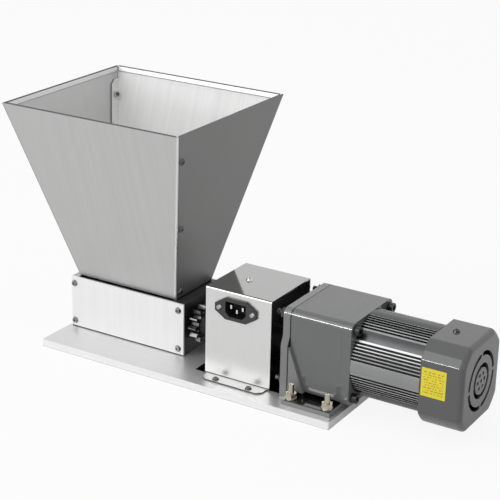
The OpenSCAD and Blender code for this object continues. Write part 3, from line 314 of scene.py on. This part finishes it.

# Painted shade: dark lines and areas at the seams between castings and along the gearbox's bottom, in the
# gaps under sheets and hem, along the hem's top edge, above the box's foot and on the plate inside the box
BRACKET_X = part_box("motor_bracket")[0].x
PLATE_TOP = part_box("base_plate")[1].z
MILL_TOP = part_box("mill_front_plate")[1].z
BOX_LOW, BOX_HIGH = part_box("box_cover")
GEARBOX_LOW, GEARBOX_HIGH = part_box("gearbox_housing")
SEAM_AND_BOTTOM_SHADE = [(("X", BRACKET_X + 7.7 * MM, BRACKET_X + 9.2 * MM),),
         (("X", GEARBOX_LOW.x + 9 * MM, GEARBOX_HIGH.x),
          ("Z", GEARBOX_LOW.z - 1 * MM, GEARBOX_LOW.z + 4 * MM))]
HOPPER_FOOT_SHADE = [(("Z", MILL_TOP - 1 * MM, MILL_TOP + 1.3 * MM),)]
MILL_FOOT_SHADE = [(("Z", PLATE_TOP - 1 * MM, PLATE_TOP + 1.1 * MM),)]
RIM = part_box("hopper_front_sheet")[1].z
UNDER_HEM_SHADE = [(("Z", RIM - 7 * MM, RIM - 5.6 * MM),)]
RIM_EDGE_SHADE = [(("Z", RIM - 1.3 * MM, RIM + 1 * MM),)]
BOX_FOOT = [(("Z", PLATE_TOP + 1.4 * MM, PLATE_TOP + 2.3 * MM),)]
UNDER_BOX_SHADE = [(("X", BOX_LOW.x, BRACKET_X), ("Y", BOX_LOW.y + 16 * MM, BOX_HIGH.y - 15 * MM))]

MATERIALS = {
    # Painted shade on the plate inside the box
    "base_aluminium": brushed("base_aluminium", (0.72, 0.72, 0.72), ALONG_X, 0.42, metallic=0.7,
                              marks=UNDER_BOX_SHADE),
    # Painted shade along the hopper's foot
    "brushed_stainless": brushed("brushed_stainless", (0.57, 0.57, 0.567), ACROSS_X, 0.44, contrast=0.07,
                                 metallic=0.75, marks=HOPPER_FOOT_SHADE),
    # Painted shade: the hopper's outer sides are a darker copy of the same steel, with painted shade along
    # the foot
    "side_stainless": brushed("side_stainless", (0.235, 0.235, 0.233), ACROSS_Y, 0.44, metallic=0.75,
                              marks=HOPPER_FOOT_SHADE),
    # Painted light: the hopper's insides are lighter copies of the same steel, with painted shade under the
    # hem
    "lit_inner_stainless": brushed("lit_inner_stainless", (0.86, 0.86, 0.857), ACROSS_X, 0.7, contrast=0.1,
                               metallic=0.25, marks=UNDER_HEM_SHADE, left=0.5),
    "lit_inner_side_stainless": brushed("lit_inner_side_stainless", (0.62, 0.62, 0.617), ACROSS_Y, 0.5,
                                    metallic=0.7, marks=UNDER_HEM_SHADE, left=0.22),
    # Painted light: a lighter copy of the plate's aluminium for its front faces
    "edge_aluminium": brushed("edge_aluminium", (0.9, 0.9, 0.9), ALONG_X, 0.5, metallic=0.3),
    # Painted shade: near black for the motor's grooves, the gear hubs, the roller shaft beyond the mill and
    # the plate's window walls
    "painted_shade_black": coated("painted_shade_black", (0.008, 0.008, 0.008), 0.6),
    # Painted highlights: lighter copies of the motor's metal for its bands and fin tips
    "band_highlight": metal("band_highlight", (0.34, 0.342, 0.345), 0.35, mottle=0.05, depth=0),
    "fin_tip_highlight": metal("fin_tip_highlight", (0.36, 0.362, 0.365), 0.24, mottle=0.1, depth=0),
    # Painted light on the hem band, with painted shade along its top edge
    "lit_hem_stainless": brushed("lit_hem_stainless", (0.84, 0.84, 0.84), ACROSS_X, 0.45, metallic=0.6,
                             marks=RIM_EDGE_SHADE, left=0.09),
    # Painted highlight: a lighter copy of the steel for the hopper's corner bends
    "highlit_bend_stainless": brushed("highlit_bend_stainless", (0.9, 0.9, 0.9), ACROSS_X, 0.3, metallic=0.7),
    # Painted shade: a dark copy of the steel for cut edges and rims
    "rim_stainless": brushed("rim_stainless", (0.12, 0.12, 0.12), ACROSS_X, 0.4),
    # Painted light: a lighter, less metallic copy of the steel for the mill's front and back plates, with
    # painted shade at their foot
    "lit_plate_stainless": brushed("lit_plate_stainless", (0.9, 0.9, 0.9), (1400, 40, 8), 0.5, contrast=0.06,
                               metallic=0.3, marks=MILL_FOOT_SHADE),
    "end_plate_light": brushed("end_plate_light", (0.45, 0.45, 0.45), (700, 8, 700), 0.4),
    # Painted shade: the right end plate is near black, a dark stand-in where it faces the box and motor
    "end_plate_dark": coated("end_plate_dark", (0.018, 0.018, 0.019), 0.35),
    "roller_steel": metal("roller_steel", (0.42, 0.43, 0.44), 0.32),
    "gear_steel": metal("gear_steel", (0.2, 0.2, 0.2), 0.25),
    "bronze": metal("bronze", (0.5, 0.34, 0.15), 0.4),
    "polished_stainless": brushed("polished_stainless", (0.43, 0.43, 0.427), ACROSS_X, 0.07,
                                  spread=0.02, depth=0.000002, contrast=0.015),
    # Painted light: a lighter satin copy of the cover's steel for its front and back, with painted shade
    # above the foot
    "satin_stainless": brushed("satin_stainless", (0.76, 0.76, 0.755), ACROSS_X, 0.32, spread=0.03,
                               depth=0.000004, contrast=0.02, metallic=0.9, marks=BOX_FOOT),
    "foot_stainless": brushed("foot_stainless", (0.74, 0.74, 0.735), ACROSS_X, 0.5, spread=0.03,
                              depth=0.000004, contrast=0.02, metallic=0.6),
    # Painted shade: near black inside the box
    "box_inside_shade": coated("box_inside_shade", (0.012, 0.012, 0.013), 0.45),
    "bright_screw": metal("bright_screw", (0.55, 0.55, 0.54), 0.22),
    "shaded_screw": metal("shaded_screw", (0.1, 0.1, 0.1), 0.22),
    "dark_screw": coated("dark_screw", (0.012, 0.012, 0.013), 0.25),
    "zinc_plate": metal("zinc_plate", (0.52, 0.49, 0.41), 0.22),
    "cover_screw": metal("cover_screw", (0.3, 0.3, 0.3), 0.2),
    "inlet_plastic": coated("inlet_plastic", (0.035, 0.035, 0.038), 0.42),
    # Painted shade: darker plastic for the inlet's recess and edges
    "inlet_recess_shade": coated("inlet_recess_shade", (0.006, 0.006, 0.006), 0.5),
    "capacitor_case": coated("capacitor_case", (0.02, 0.02, 0.02), 0.3),
    "contact_metal": metal("contact_metal", (0.8, 0.78, 0.74), 0.2),
    "coupling_alloy": metal("coupling_alloy", (0.3, 0.3, 0.31), 0.3),
    "spider_rubber": coated("spider_rubber", (0.02, 0.02, 0.021), 0.55),
    # Painted shade at the seam by the bracket and along the gearbox's bottom edge
    "gray_paint": coated("gray_paint", (0.15, 0.153, 0.153), 0.5, coat=1.0, specular=0.08, marks=SEAM_AND_BOTTOM_SHADE),
    # Painted light: a lighter copy of the grey paint for the bracket, with the same painted shade at the
    # seams
    "lit_bracket_paint": coated("lit_bracket_paint", (0.215, 0.218, 0.218), 0.5, coat=1.0, specular=0.08,
                            marks=SEAM_AND_BOTTOM_SHADE),
    # Painted shade: a darker copy of the grey paint for the fan cover
    "shaded_cover_paint": coated("shaded_cover_paint", (0.108, 0.109, 0.11), 0.5, coat=1.0, specular=0.08),
    "motor_paint": metal("motor_paint", (0.095, 0.097, 0.099), 0.28, mottle=0.03, depth=0),
    "cast_alloy": metal("cast_alloy", (0.2, 0.2, 0.2), 0.5, depth=0.00006, scale=500),
    "bearing_steel": metal("bearing_steel", (0.6, 0.6, 0.6), 0.15),
    "lamination_steel": brushed("lamination_steel", (0.25, 0.25, 0.26), (2000, 4, 4), 0.45),
    "winding_copper": metal("winding_copper", (0.5, 0.24, 0.1), 0.35),
    "fan_plastic": coated("fan_plastic", (0.012, 0.012, 0.012), 0.5),
    "label_film": printed_label("label_film", (0.88, 0.74, 0.035), (0.5, 0.36, 0.02),
                                *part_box("rating_label")),
}
# Nodes that wear another material than their slot's
OWN_MATERIAL = {
    "mill_front_plate": "lit_plate_stainless", "mill_back_plate": "lit_plate_stainless",
    "motor_bracket": "lit_bracket_paint", "motor_housing": "motor_paint",
    "box_foot_screws": "shaded_screw", "cover_plate_screws": "cover_screw",
    "hopper_screws": "shaded_screw", "gearbox_bolt_nuts": "shaded_screw",
    "fan_cover_screws": "dark_screw",
}


def dress(piece, key):
    """Gives a piece one material alone."""
    piece.data.materials.clear()
    piece.data.materials.append(MATERIALS[key])


slot_of = {part["node"]: part["material_slot"] for part in frame["record"]["subparts"]}
body_of = {name: piece["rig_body"] for name, piece in nodes.items()}
for name, piece in nodes.items():
    dress(piece, OWN_MATERIAL.get(name, slot_of[name]))


# Rounded pieces stand for the sharp-edged CAD nodes. Angles in degrees
MERGE_REACH = 2e-6
FLAT_ANGLE = 1.0
SMOOTH_ANGLE = 35
BEVEL_ANGLE = 25
BEVEL_SEGMENTS = 2


def merged_copy(name):
    """A clean mesh of a CAD node: doubled points joined and flat faces made whole."""
    work = bmesh.new()
    work.from_mesh(nodes[name].data)
    bmesh.ops.remove_doubles(work, verts=work.verts, dist=MERGE_REACH)
    bmesh.ops.dissolve_limit(work, angle_limit=math.radians(FLAT_ANGLE), verts=work.verts, edges=work.edges)
    data = bpy.data.meshes.new(name + "_rounded")
    work.to_mesh(data)
    work.free()
    return data


def smoothed(piece):
    """Smooth shading that keeps large faces flat."""
    bpy.context.view_layer.objects.active = piece
    bpy.ops.object.select_all(action="DESELECT")
    piece.select_set(True)
    bpy.ops.object.shade_smooth_by_angle(angle=math.radians(SMOOTH_ANGLE))
    weights = piece.modifiers.new("weights", "WEIGHTED_NORMAL")
    weights.keep_sharp = True
    weights.weight = 100
    bpy.ops.object.modifier_apply(modifier=weights.name)


def stand_in(piece, name):
    """Dresses a piece as a node, rides it on the node's body and hides the node."""
    dress(piece, OWN_MATERIAL.get(name, slot_of[name]))
    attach(piece, body_of[name])
    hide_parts(name)


def rounded(name, width):
    """Copies a node with its edges beveled by width, in metres."""
    piece = placed(name + "_rounded", merged_copy(name))
    bevel = piece.modifiers.new("edges", "BEVEL")
    bevel.width = width
    bevel.segments = BEVEL_SEGMENTS
    bevel.limit_method = "ANGLE"
    bevel.angle_limit = math.radians(BEVEL_ANGLE)
    bevel.use_clamp_overlap = True
    bpy.context.view_layer.objects.active = piece
    bpy.ops.object.modifier_apply(modifier=bevel.name)
    smoothed(piece)
    stand_in(piece, name)
    return piece


# Bevel widths in mm
EDGE_WIDTHS = {
    "mill_front_plate": 0.3, "mill_back_plate": 0.3, "mill_left_plate": 0.4,
    "mill_right_plate": 0.4, "motor_bracket": 1.2, "gearbox_housing": 0.25, "motor_flange": 0.25,
    "run_capacitor": 0.6,
}
for name, width in EDGE_WIDTHS.items():
    rounded(name, width * MM)


def repaint(piece, key, chosen):
    """Gives the faces that chosen picks another material."""
    piece.data.materials.append(MATERIALS[key])
    last = len(piece.data.materials) - 1
    for face in piece.data.polygons:
        if chosen(face):
            face.material_index = last


SHEET_EDGE = 0.3 * MM
CUT_EDGE_AREA = 330 * MM * MM
HEM_H = 8 * MM
# Least share of a normal along an axis for a face to count as turned that way
TURNED = 0.8


def make_hopper_sheet(name):
    """A hopper sheet with painted light and shade: a darker copy of the steel outside on its side, lighter
    copies inside and on the hem, and painted shade on the cut edges and the rim.
    """
    sheet = rounded(name, SHEET_EDGE)
    one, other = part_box("hopper_front_sheet"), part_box("hopper_back_sheet")
    middle = (one[0] + other[1]) / 2

    def outside(face):
        return (face.center.x - middle.x) * face.normal.x + (face.center.y - middle.y) * face.normal.y > 0

    repaint(sheet, "side_stainless", lambda face: outside(face) and abs(face.normal.x) > TURNED)
    repaint(sheet, "lit_inner_stainless", lambda face: not outside(face))
    repaint(sheet, "lit_inner_side_stainless", lambda face: not outside(face) and abs(face.normal.x) > TURNED)
    flange_side = 1 if name == "hopper_front_sheet" else -1
    repaint(sheet, "lit_inner_stainless", lambda face: not outside(face) and abs(face.normal.x) > TURNED
            and (face.center.x - middle.x) * flange_side > 0)
    repaint(sheet, "lit_hem_stainless", lambda face: not outside(face) and face.center.z > RIM - HEM_H
            and abs(face.normal.z) < 0.5)
    repaint(sheet, "rim_stainless", lambda face: face.area < CUT_EDGE_AREA
            or (abs(face.normal.z) > TURNED and face.center.z > RIM - 1 * MM))


for name in ("hopper_front_sheet", "hopper_back_sheet"):
    make_hopper_sheet(name)


BOX_FOOT_REACH = 3 * MM
BOX_CUT_AREA = 200 * MM * MM


def make_box_cover():
    """The box cover: satin front and back in a lighter copy of the steel as painted light, polished top, and
    painted shade on the cut edges and inside.
    """
    cover = rounded("box_cover", SHEET_EDGE)
    low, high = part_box("box_cover")
    middle = (low + high) / 2
    foot_top = low.z + BOX_FOOT_REACH

    def inwards(face):
        looks_in = (middle - face.center).dot(face.normal) > 0
        return looks_in and abs(face.normal.x) < 0.5 and face.center.z > foot_top

    repaint(cover, "satin_stainless", lambda face: abs(face.normal.y) > 0.3)
    repaint(cover, "foot_stainless", lambda face: face.center.z < foot_top)
    repaint(cover, "rim_stainless", lambda face: face.area < BOX_CUT_AREA
            and (abs(face.normal.x) > 0.3 or 0.75 < face.normal.z < 0.97
                 or (face.center.z < foot_top and abs(face.normal.z) < 0.95)))
    repaint(cover, "box_inside_shade", inwards)


GROOVE_FROM = 0.5 * MM
TIP_WIDTH = 2.2 * MM
# Shares of a normal along Z: range of the fin tips with painted highlights, and limit of the painted
# highlight band in front and behind
TIP_FROM = -0.42
TIP_TO = 0.9
BAND_TILT = 0.22


def make_motor_housing():
    """The finned body: painted shade in its grooves, painted highlights on its fin tips and on the bands in
    front and behind.
    """
    housing = rounded("motor_housing", 0.4 * MM)
    low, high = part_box("motor_housing")
    middle = (low + high) / 2
    within = (high.y - low.y) / 2 - GROOVE_FROM
    tip_area = TIP_WIDTH * (high.x - low.x)

    def reach(face):
        return math.hypot(face.center.y - middle.y, face.center.z - middle.z)

    repaint(housing, "painted_shade_black", lambda face: abs(face.normal.x) < 0.5 and reach(face) < within)
    repaint(housing, "fin_tip_highlight", lambda face: abs(face.normal.x) < 0.5 and reach(face) >= within
            and face.area < tip_area and TIP_FROM < face.normal.z < TIP_TO)
    repaint(housing, "band_highlight", lambda face: abs(face.normal.x) < 0.5 and face.area >= tip_area
            and abs(face.normal.z) < BAND_TILT)


HUB_L = 8.2 * MM


def make_gear(name):
    """A roller gear with painted shade on its hub."""
    gear = rounded(name, 0.25 * MM)
    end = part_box(name)[1].x
    repaint(gear, "painted_shade_black", lambda face: face.center.x > end - HUB_L)


def make_roller(name):
    """A roller whose shaft has painted shade where it leaves the mill."""
    roller = placed(name + "_finished", merged_copy(name))
    smoothed(roller)
    stand_in(roller, name)
    mill_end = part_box("mill_right_plate")[1].x
    repaint(roller, "painted_shade_black", lambda face: face.center.x > mill_end)


PLATE_BORDER = 3 * MM


def make_base_plate():
    """The base plate, with painted light on its front edge and painted shade on the walls of its window."""
    plate = rounded("base_plate", 0.4 * MM)
    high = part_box("base_plate")[1]
    repaint(plate, "edge_aluminium", lambda face: face.normal.y < -0.5)
    repaint(plate, "painted_shade_black", lambda face: abs(face.normal.z) < 0.9
            and abs(face.center.x) < high.x - PLATE_BORDER and abs(face.center.y) < high.y - PLATE_BORDER)


def make_inlet():
    """The mains inlet, with painted shade inside its recess and on its side faces."""
    socket = rounded("inlet_socket", 0.4 * MM)
    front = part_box("inlet_socket")[0].y
    repaint(socket, "inlet_recess_shade", lambda face: face.center.y > front + 1 * MM or face.normal.y > -0.9)


make_box_cover()
make_inlet()
make_motor_housing()
make_base_plate()
make_roller("drive_roller")
make_gear("drive_roller_gear")
make_gear("driven_roller_gear")


# Fan cover with smooth corners and cut vents
COVER_WALL = 2.5 * MM
COVER_ROUND = 5.5 * MM
CORNER_REACH = 8.0 * MM
CORNER_FILLET = 4.5 * MM
VENT_MARGIN = 14 * MM
VENT_SLOT = 4.5 * MM
VENT_STEP = 12.5 * MM
VENT_TURN = 5
VENT_GAP = 14
VENT_HOLE = 2.0 * MM
VENT_HOLE_RING = 8 * MM
COVER_CHAMFER = 0.6 * MM
FILLET_STEPS = 4
SIDE_STEPS = 12
ROUND_STEPS = 8
SLOT_STEPS = 12
SLOT_END_STEPS = 6
SLOT_RINGS = 2
SLOTS_AROUND = 4
HOLES_AROUND = 6
HOLE_SIDES = 16


def cover_outline(half, inset):
    """Y and Z of a square cut round by a circle, with its eight corners filleted."""
    flat = half - inset - CORNER_FILLET
    arc = half + CORNER_REACH - inset - CORNER_FILLET
    corner = Vector((flat, math.sqrt(arc * arc - flat * flat)))
    turn = math.atan2(corner.y, corner.x)
    quarter = []
    for k in range(FILLET_STEPS + 1):
        a = turn * k / FILLET_STEPS
        quarter.append((corner.x + CORNER_FILLET * math.cos(a), corner.y + CORNER_FILLET * math.sin(a)))
    for k in range(1, SIDE_STEPS):
        a = turn + (math.pi / 2 - 2 * turn) * k / SIDE_STEPS
        quarter.append(((arc + CORNER_FILLET) * math.cos(a), (arc + CORNER_FILLET) * math.sin(a)))
    for k in range(FILLET_STEPS + 1):
        a = math.pi / 2 - turn + turn * k / FILLET_STEPS
        quarter.append((corner.y + CORNER_FILLET * math.cos(a), corner.x + CORNER_FILLET * math.sin(a)))
    points = []
    for c, s in ((1, 0), (0, 1), (-1, 0), (0, -1)):
        points += [(c * y - s * z, s * y + c * z) for y, z in quarter]
    return points


def lofted(name, rings):
    """A closed mesh through rings of points, with flat ends."""
    work = bmesh.new()
    loops = [[work.verts.new(p) for p in ring] for ring in rings]
    for one, two in zip(loops, loops[1:]):
        for k in range(len(one)):
            after = (k + 1) % len(one)
            work.faces.new((one[k], one[after], two[after], two[k]))
    work.faces.new(list(reversed(loops[0])))
    work.faces.new(loops[-1])
    bmesh.ops.recalc_face_normals(work, faces=work.faces)
    data = bpy.data.meshes.new(name)
    work.to_mesh(data)
    work.free()
    return placed(name, data)


def cut_away(piece, tool):
    """Cuts the tool out of the piece and removes the tool."""
    cut = piece.modifiers.new("cut", "BOOLEAN")
    cut.operation = "DIFFERENCE"
    cut.solver = "EXACT"
    cut.object = tool
    bpy.context.view_layer.objects.active = piece
    bpy.ops.object.modifier_apply(modifier=cut.name)
    bpy.data.objects.remove(tool)


def vent_slot(x0, x1, centre, inner, outer, start, end):
    """A slot with rounded ends between two radii and two angles, cut along X."""
    middle, half = (inner + outer) / 2, (outer - inner) / 2
    points = []
    for k in range(SLOT_STEPS + 1):
        a = start + (end - start) * k / SLOT_STEPS
        points.append((outer * math.cos(a), outer * math.sin(a)))
    for k in range(1, SLOT_END_STEPS):
        b = end + math.pi * k / SLOT_END_STEPS
        points.append((middle * math.cos(end) + half * math.cos(b),
                       middle * math.sin(end) + half * math.sin(b)))
    for k in range(SLOT_STEPS + 1):
        a = end + (start - end) * k / SLOT_STEPS
        points.append((inner * math.cos(a), inner * math.sin(a)))
    for k in range(1, SLOT_END_STEPS):
        b = start + math.pi + math.pi * k / SLOT_END_STEPS
        points.append((middle * math.cos(start) + half * math.cos(b),
                       middle * math.sin(start) + half * math.sin(b)))
    return lofted("slot", [[(x, y + centre.y, z + centre.z) for y, z in points] for x in (x0, x1)])


def make_fan_cover():
    """A hollow cover with two rings of slots and a rose of holes in its end."""
    low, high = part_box("fan_cover")
    centre = (low + high) / 2
    half = (high.z - low.z) / 2

    def ring(x, inset):
        return [(x, y + centre.y, z + centre.z) for y, z in cover_outline(half, inset)]

    steps = [k * math.pi / (2 * ROUND_STEPS) for k in range(ROUND_STEPS + 1)]
    rings = [ring(low.x, COVER_CHAMFER), ring(low.x + COVER_CHAMFER, 0)]
    rings += [ring(high.x - COVER_ROUND * (1 - math.sin(a)), COVER_ROUND * (1 - math.cos(a)))
              for a in steps]
    cover = lofted("fan_cover_shell", rings)
    inner_end = high.x - COVER_WALL
    cut_away(cover, lofted("hollow", [ring(low.x - COVER_WALL, COVER_WALL),
                                      ring(inner_end - COVER_WALL, COVER_WALL),
                                      ring(inner_end, 2 * COVER_WALL)]))
    slot_pitch = 360 / SLOTS_AROUND
    for n in range(SLOT_RINGS):
        outer = half - VENT_MARGIN - n * VENT_STEP
        for k in range(SLOTS_AROUND):
            start = math.radians(VENT_TURN + slot_pitch * k + VENT_GAP / 2)
            end = math.radians(VENT_TURN + slot_pitch * (k + 1) - VENT_GAP / 2)
            cut_away(cover, vent_slot(inner_end - COVER_WALL, high.x + COVER_WALL, centre, outer - VENT_SLOT,
                                      outer, start, end))
    places = [(0.0, 0.0)]
    for k in range(HOLES_AROUND):
        a = math.radians(360 / HOLES_AROUND * k)
        places.append((VENT_HOLE_RING * math.cos(a), VENT_HOLE_RING * math.sin(a)))
    for y, z in places:
        circle = [(y + centre.y + VENT_HOLE * math.cos(b), z + centre.z + VENT_HOLE * math.sin(b))
                  for b in [math.tau * k / HOLE_SIDES for k in range(HOLE_SIDES)]]
        cut_away(cover, lofted("hole", [[(x, p, q) for p, q in circle]
                                        for x in (inner_end - COVER_WALL, high.x + COVER_WALL)]))
    smoothed(cover)
    dress(cover, "shaded_cover_paint")
    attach(cover, body_of["fan_cover"])
    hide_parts("fan_cover")


make_fan_cover()


# Rounded bends at the hopper's two screwed corners
BEND_R = 1.9 * MM
BEND_FLAT = 0.1 * MM
BEND_OUT = 0.05 * MM
BEND_BELOW_RIM = 0.7 * MM
BEND_STEPS = 6
OUTLET_HALF = (63.8 * MM, 35 * MM)


def make_bend(side):
    """The bend up a corner, seen between a front or back panel and the set-back side panel."""
    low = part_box("hopper_front_sheet")[0]
    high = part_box("hopper_back_sheet")[1]
    middle = (low + high) / 2
    mouth = ((high.x - low.x) / 2, (high.y - low.y) / 2)
    rings = []
    for (half_x, half_y), z in ((OUTLET_HALF, MILL_TOP), (mouth, high.z - BEND_BELOW_RIM)):
        x, y = half_x + BEND_OUT, -half_y - BEND_OUT
        outline = [(x - BEND_R + BEND_R * math.sin(a), y + BEND_R - BEND_R * math.cos(a))
                   for a in [math.pi / 2 * k / BEND_STEPS for k in range(BEND_STEPS + 1)]]
        outline += [(x, y + BEND_R + BEND_FLAT), (x - BEND_R, y + BEND_R + BEND_FLAT)]
        rings.append([(middle.x + side * p, middle.y + side * q, z) for p, q in outline])
    bend = lofted("hopper_bend", rings)
    smoothed(bend)
    # Painted highlight on the bend
    dress(bend, "highlit_bend_stainless")
    name = "hopper_front_sheet" if side > 0 else "hopper_back_sheet"
    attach(bend, body_of[name])


make_bend(1)
make_bend(-1)


# Threaded ends of the long bolts, beyond their nuts on the bracket
TIP_R = 3 * MM
TIP_L = 6.5 * MM
TIP_PITCH = 1 * MM
THREAD_DEPTH = 0.5 * MM
TIP_SIDES = 20
# From the box of the nuts to their middles, flat side and corner side
NUT_HALF = 5.1 * MM
NUT_CORNER = 1.15


def make_bolt_tips():
    """Four ribbed rods, one out of each nut."""
    low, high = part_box("gearbox_bolt_nuts")
    for y in (low.y + NUT_HALF, high.y - NUT_HALF):
        for z in (low.z + NUT_HALF * NUT_CORNER, high.z - NUT_HALF * NUT_CORNER):
            rings = []
            turns = int(TIP_L / TIP_PITCH * 2)
            for k in range(turns + 1):
                x = low.x - TIP_L + k * TIP_PITCH / 2
                r = TIP_R - (THREAD_DEPTH if k % 2 == 0 else 0)
                rings.append([(x, y + r * math.cos(a), z + r * math.sin(a))
                              for a in [math.tau * n / TIP_SIDES for n in range(TIP_SIDES)]])
            tip = lofted("bolt_tip", rings)
            smoothed(tip)
            # Painted light and shade: the lower tips wear the bright screw steel, the upper ones the darker
            # shaded copy
            dress(tip, "bright_screw" if z < (low.z + high.z) / 2 else "shaded_screw")
            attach(tip, body_of["gearbox_bolt_nuts"])


make_bolt_tips()


# Studio: white to the camera, with softer surroundings for what lights the metal
def soft_box(name, place, aim, size, power):
    """A rectangular lamp, its size in metres and its power in watts, turned to the point aim."""
    data = bpy.data.lights.new(name, "AREA")
    data.shape = "RECTANGLE"
    data.size, data.size_y = size
    data.energy = power
    lamp = placed(name, data)
    lamp.location = place
    lamp.rotation_euler = (Vector(aim) - Vector(place)).to_track_quat("-Z", "Y").to_euler()
    return lamp


def link_lamp(lamp, names):
    """Lets a lamp light the pieces of some nodes alone."""
    lit = bpy.data.collections.new(lamp.name + "_lit")
    for piece in bpy.data.objects:
        if piece.type == "MESH" and piece.name.startswith(names):
            lit.objects.link(piece)
    lamp.light_linking.receiver_collection = lit


def seen_directly(tree, path):
    """Rays from the camera, also through something clear."""
    return tree.math("MAXIMUM", path.outputs["Is Camera Ray"], path.outputs["Is Transmission Ray"])


# Direction that the surroundings are brightest in, and their strength
BRIGHT_WAY = (-0.62, -0.62, 0.48)
AROUND_STRENGTH = 0.85


def make_world():
    """White to the camera and in reflections, soft and brighter to the left for what lights the pieces."""
    world = bpy.data.worlds.new("studio")
    bpy.context.scene.world = world
    world.use_nodes = True
    tree = Nodes(world.node_tree)
    world.node_tree.nodes.clear()
    path = tree.add("ShaderNodeLightPath")
    way = tree.add("ShaderNodeTexCoord").outputs["Generated"]
    toward = tree.add("ShaderNodeVectorMath", {0: way, 1: BRIGHT_WAY}, operation="DOT_PRODUCT")
    turned = tree.add("ShaderNodeMapRange", {"Value": toward.outputs["Value"], "From Min": -1.0,
                                             "From Max": 1.0})
    glow = tree.ramp(turned.outputs["Result"], [(0.1, 0.2), (0.5, 0.45), (0.85, 1.0)])
    around = tree.add("ShaderNodeBackground", {"Color": glow, "Strength": AROUND_STRENGTH})
    white = tree.add("ShaderNodeBackground", {"Color": (1, 1, 1, 1), "Strength": 1.0})
    seen = tree.math("MAXIMUM", seen_directly(tree, path), path.outputs["Is Glossy Ray"])
    mix = tree.add("ShaderNodeMixShader", {0: seen, 1: around.outputs["Background"],
                                           2: white.outputs["Background"]})
    output = tree.add("ShaderNodeOutputWorld")
    tree.link(mix.outputs["Shader"], output.inputs["Surface"])


# Share of plain white in the floor, as the camera and as a gloss sees it
FLOOR_WHITE = 0.9
FLOOR_WHITE_IN_METAL = 0.3
FLOOR_HALF = 6.0
FLOOR_DROP = 0.0002
FLOOR_COLOR = (0.9, 0.9, 0.9, 1)
# Painted shade: the floor under the base plate is near black and shows no white
UNDER_PLATE_SHADE = (0.02, 0.02, 0.02, 1)


def make_floor():
    """A pale floor that keeps the shadows, with painted shade under the base plate."""
    data = bpy.data.meshes.new("floor")
    corners = [(-1, -1), (1, -1), (1, 1), (-1, 1)]
    data.from_pydata([(x * FLOOR_HALF, y * FLOOR_HALF, -FLOOR_DROP) for x, y in corners], [], [(0, 1, 2, 3)])
    floor = placed("floor", data)
    material = bpy.data.materials.new("floor")
    material.use_nodes = True
    material.node_tree.nodes.clear()
    tree = Nodes(material.node_tree)
    path = tree.add("ShaderNodeLightPath")
    white = tree.add("ShaderNodeEmission", {"Color": (1, 1, 1, 1), "Strength": 1.0})
    mirrored = tree.math("MULTIPLY", path.outputs["Is Glossy Ray"], FLOOR_WHITE_IN_METAL)
    share = tree.math("MULTIPLY_ADD", seen_directly(tree, path), FLOOR_WHITE, mirrored)
    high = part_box("base_plate")[1]
    place = tree.axes()
    beside = tree.math("MAXIMUM", tree.math("SUBTRACT", tree.math("ABSOLUTE", place["X"]), high.x),
                       tree.math("SUBTRACT", tree.math("ABSOLUTE", place["Y"]), high.y))
    open_floor = tree.math("GREATER_THAN", beside, 0.0)
    share = tree.math("MULTIPLY", share, open_floor)
    shade = tree.blend(open_floor, UNDER_PLATE_SHADE, FLOOR_COLOR)
    matte = tree.add("ShaderNodeBsdfDiffuse", {"Color": shade})
    mix = tree.add("ShaderNodeMixShader", {0: share, 1: matte.outputs["BSDF"],
                                           2: white.outputs["Emission"]})
    output = tree.add("ShaderNodeOutputMaterial")
    tree.link(mix.outputs["Shader"], output.inputs["Surface"])
    data.materials.append(material)


def make_lamps():
    """Two broad lamps for all, a low strip for the bare metal and a narrow lamp for the painted edges."""
    soft_box("key", (-1.3, -1.9, 1.9), (0, 0, 0.12), (1.8, 1.8), 20)
    soft_box("top", (0.2, 0.2, 2.2), (0, 0, 0.1), (1.6, 1.2), 2)
    strip = soft_box("strip", (-1.15, -1.97, 0.62), (0, 0, 0.1), (1.6, 0.14), 5)
    link_lamp(strip, ("box_", "base_plate", "mill_", "hopper_", "cover_plate", "inlet_"))
    edge = soft_box("edge", (-0.88, -1.88, 0.98), (0.2, 0, 0.06), (1.1, 0.3), 32)
    # It shows only in reflections, as the bright line along the edges
    edge.visible_diffuse = False
    link_lamp(edge, ("gearbox_housing", "motor_flange", "motor_bracket", "fan_cover"))


make_world()
make_floor()
make_lamps()
bpy.context.scene.view_settings.view_transform = "Standard"
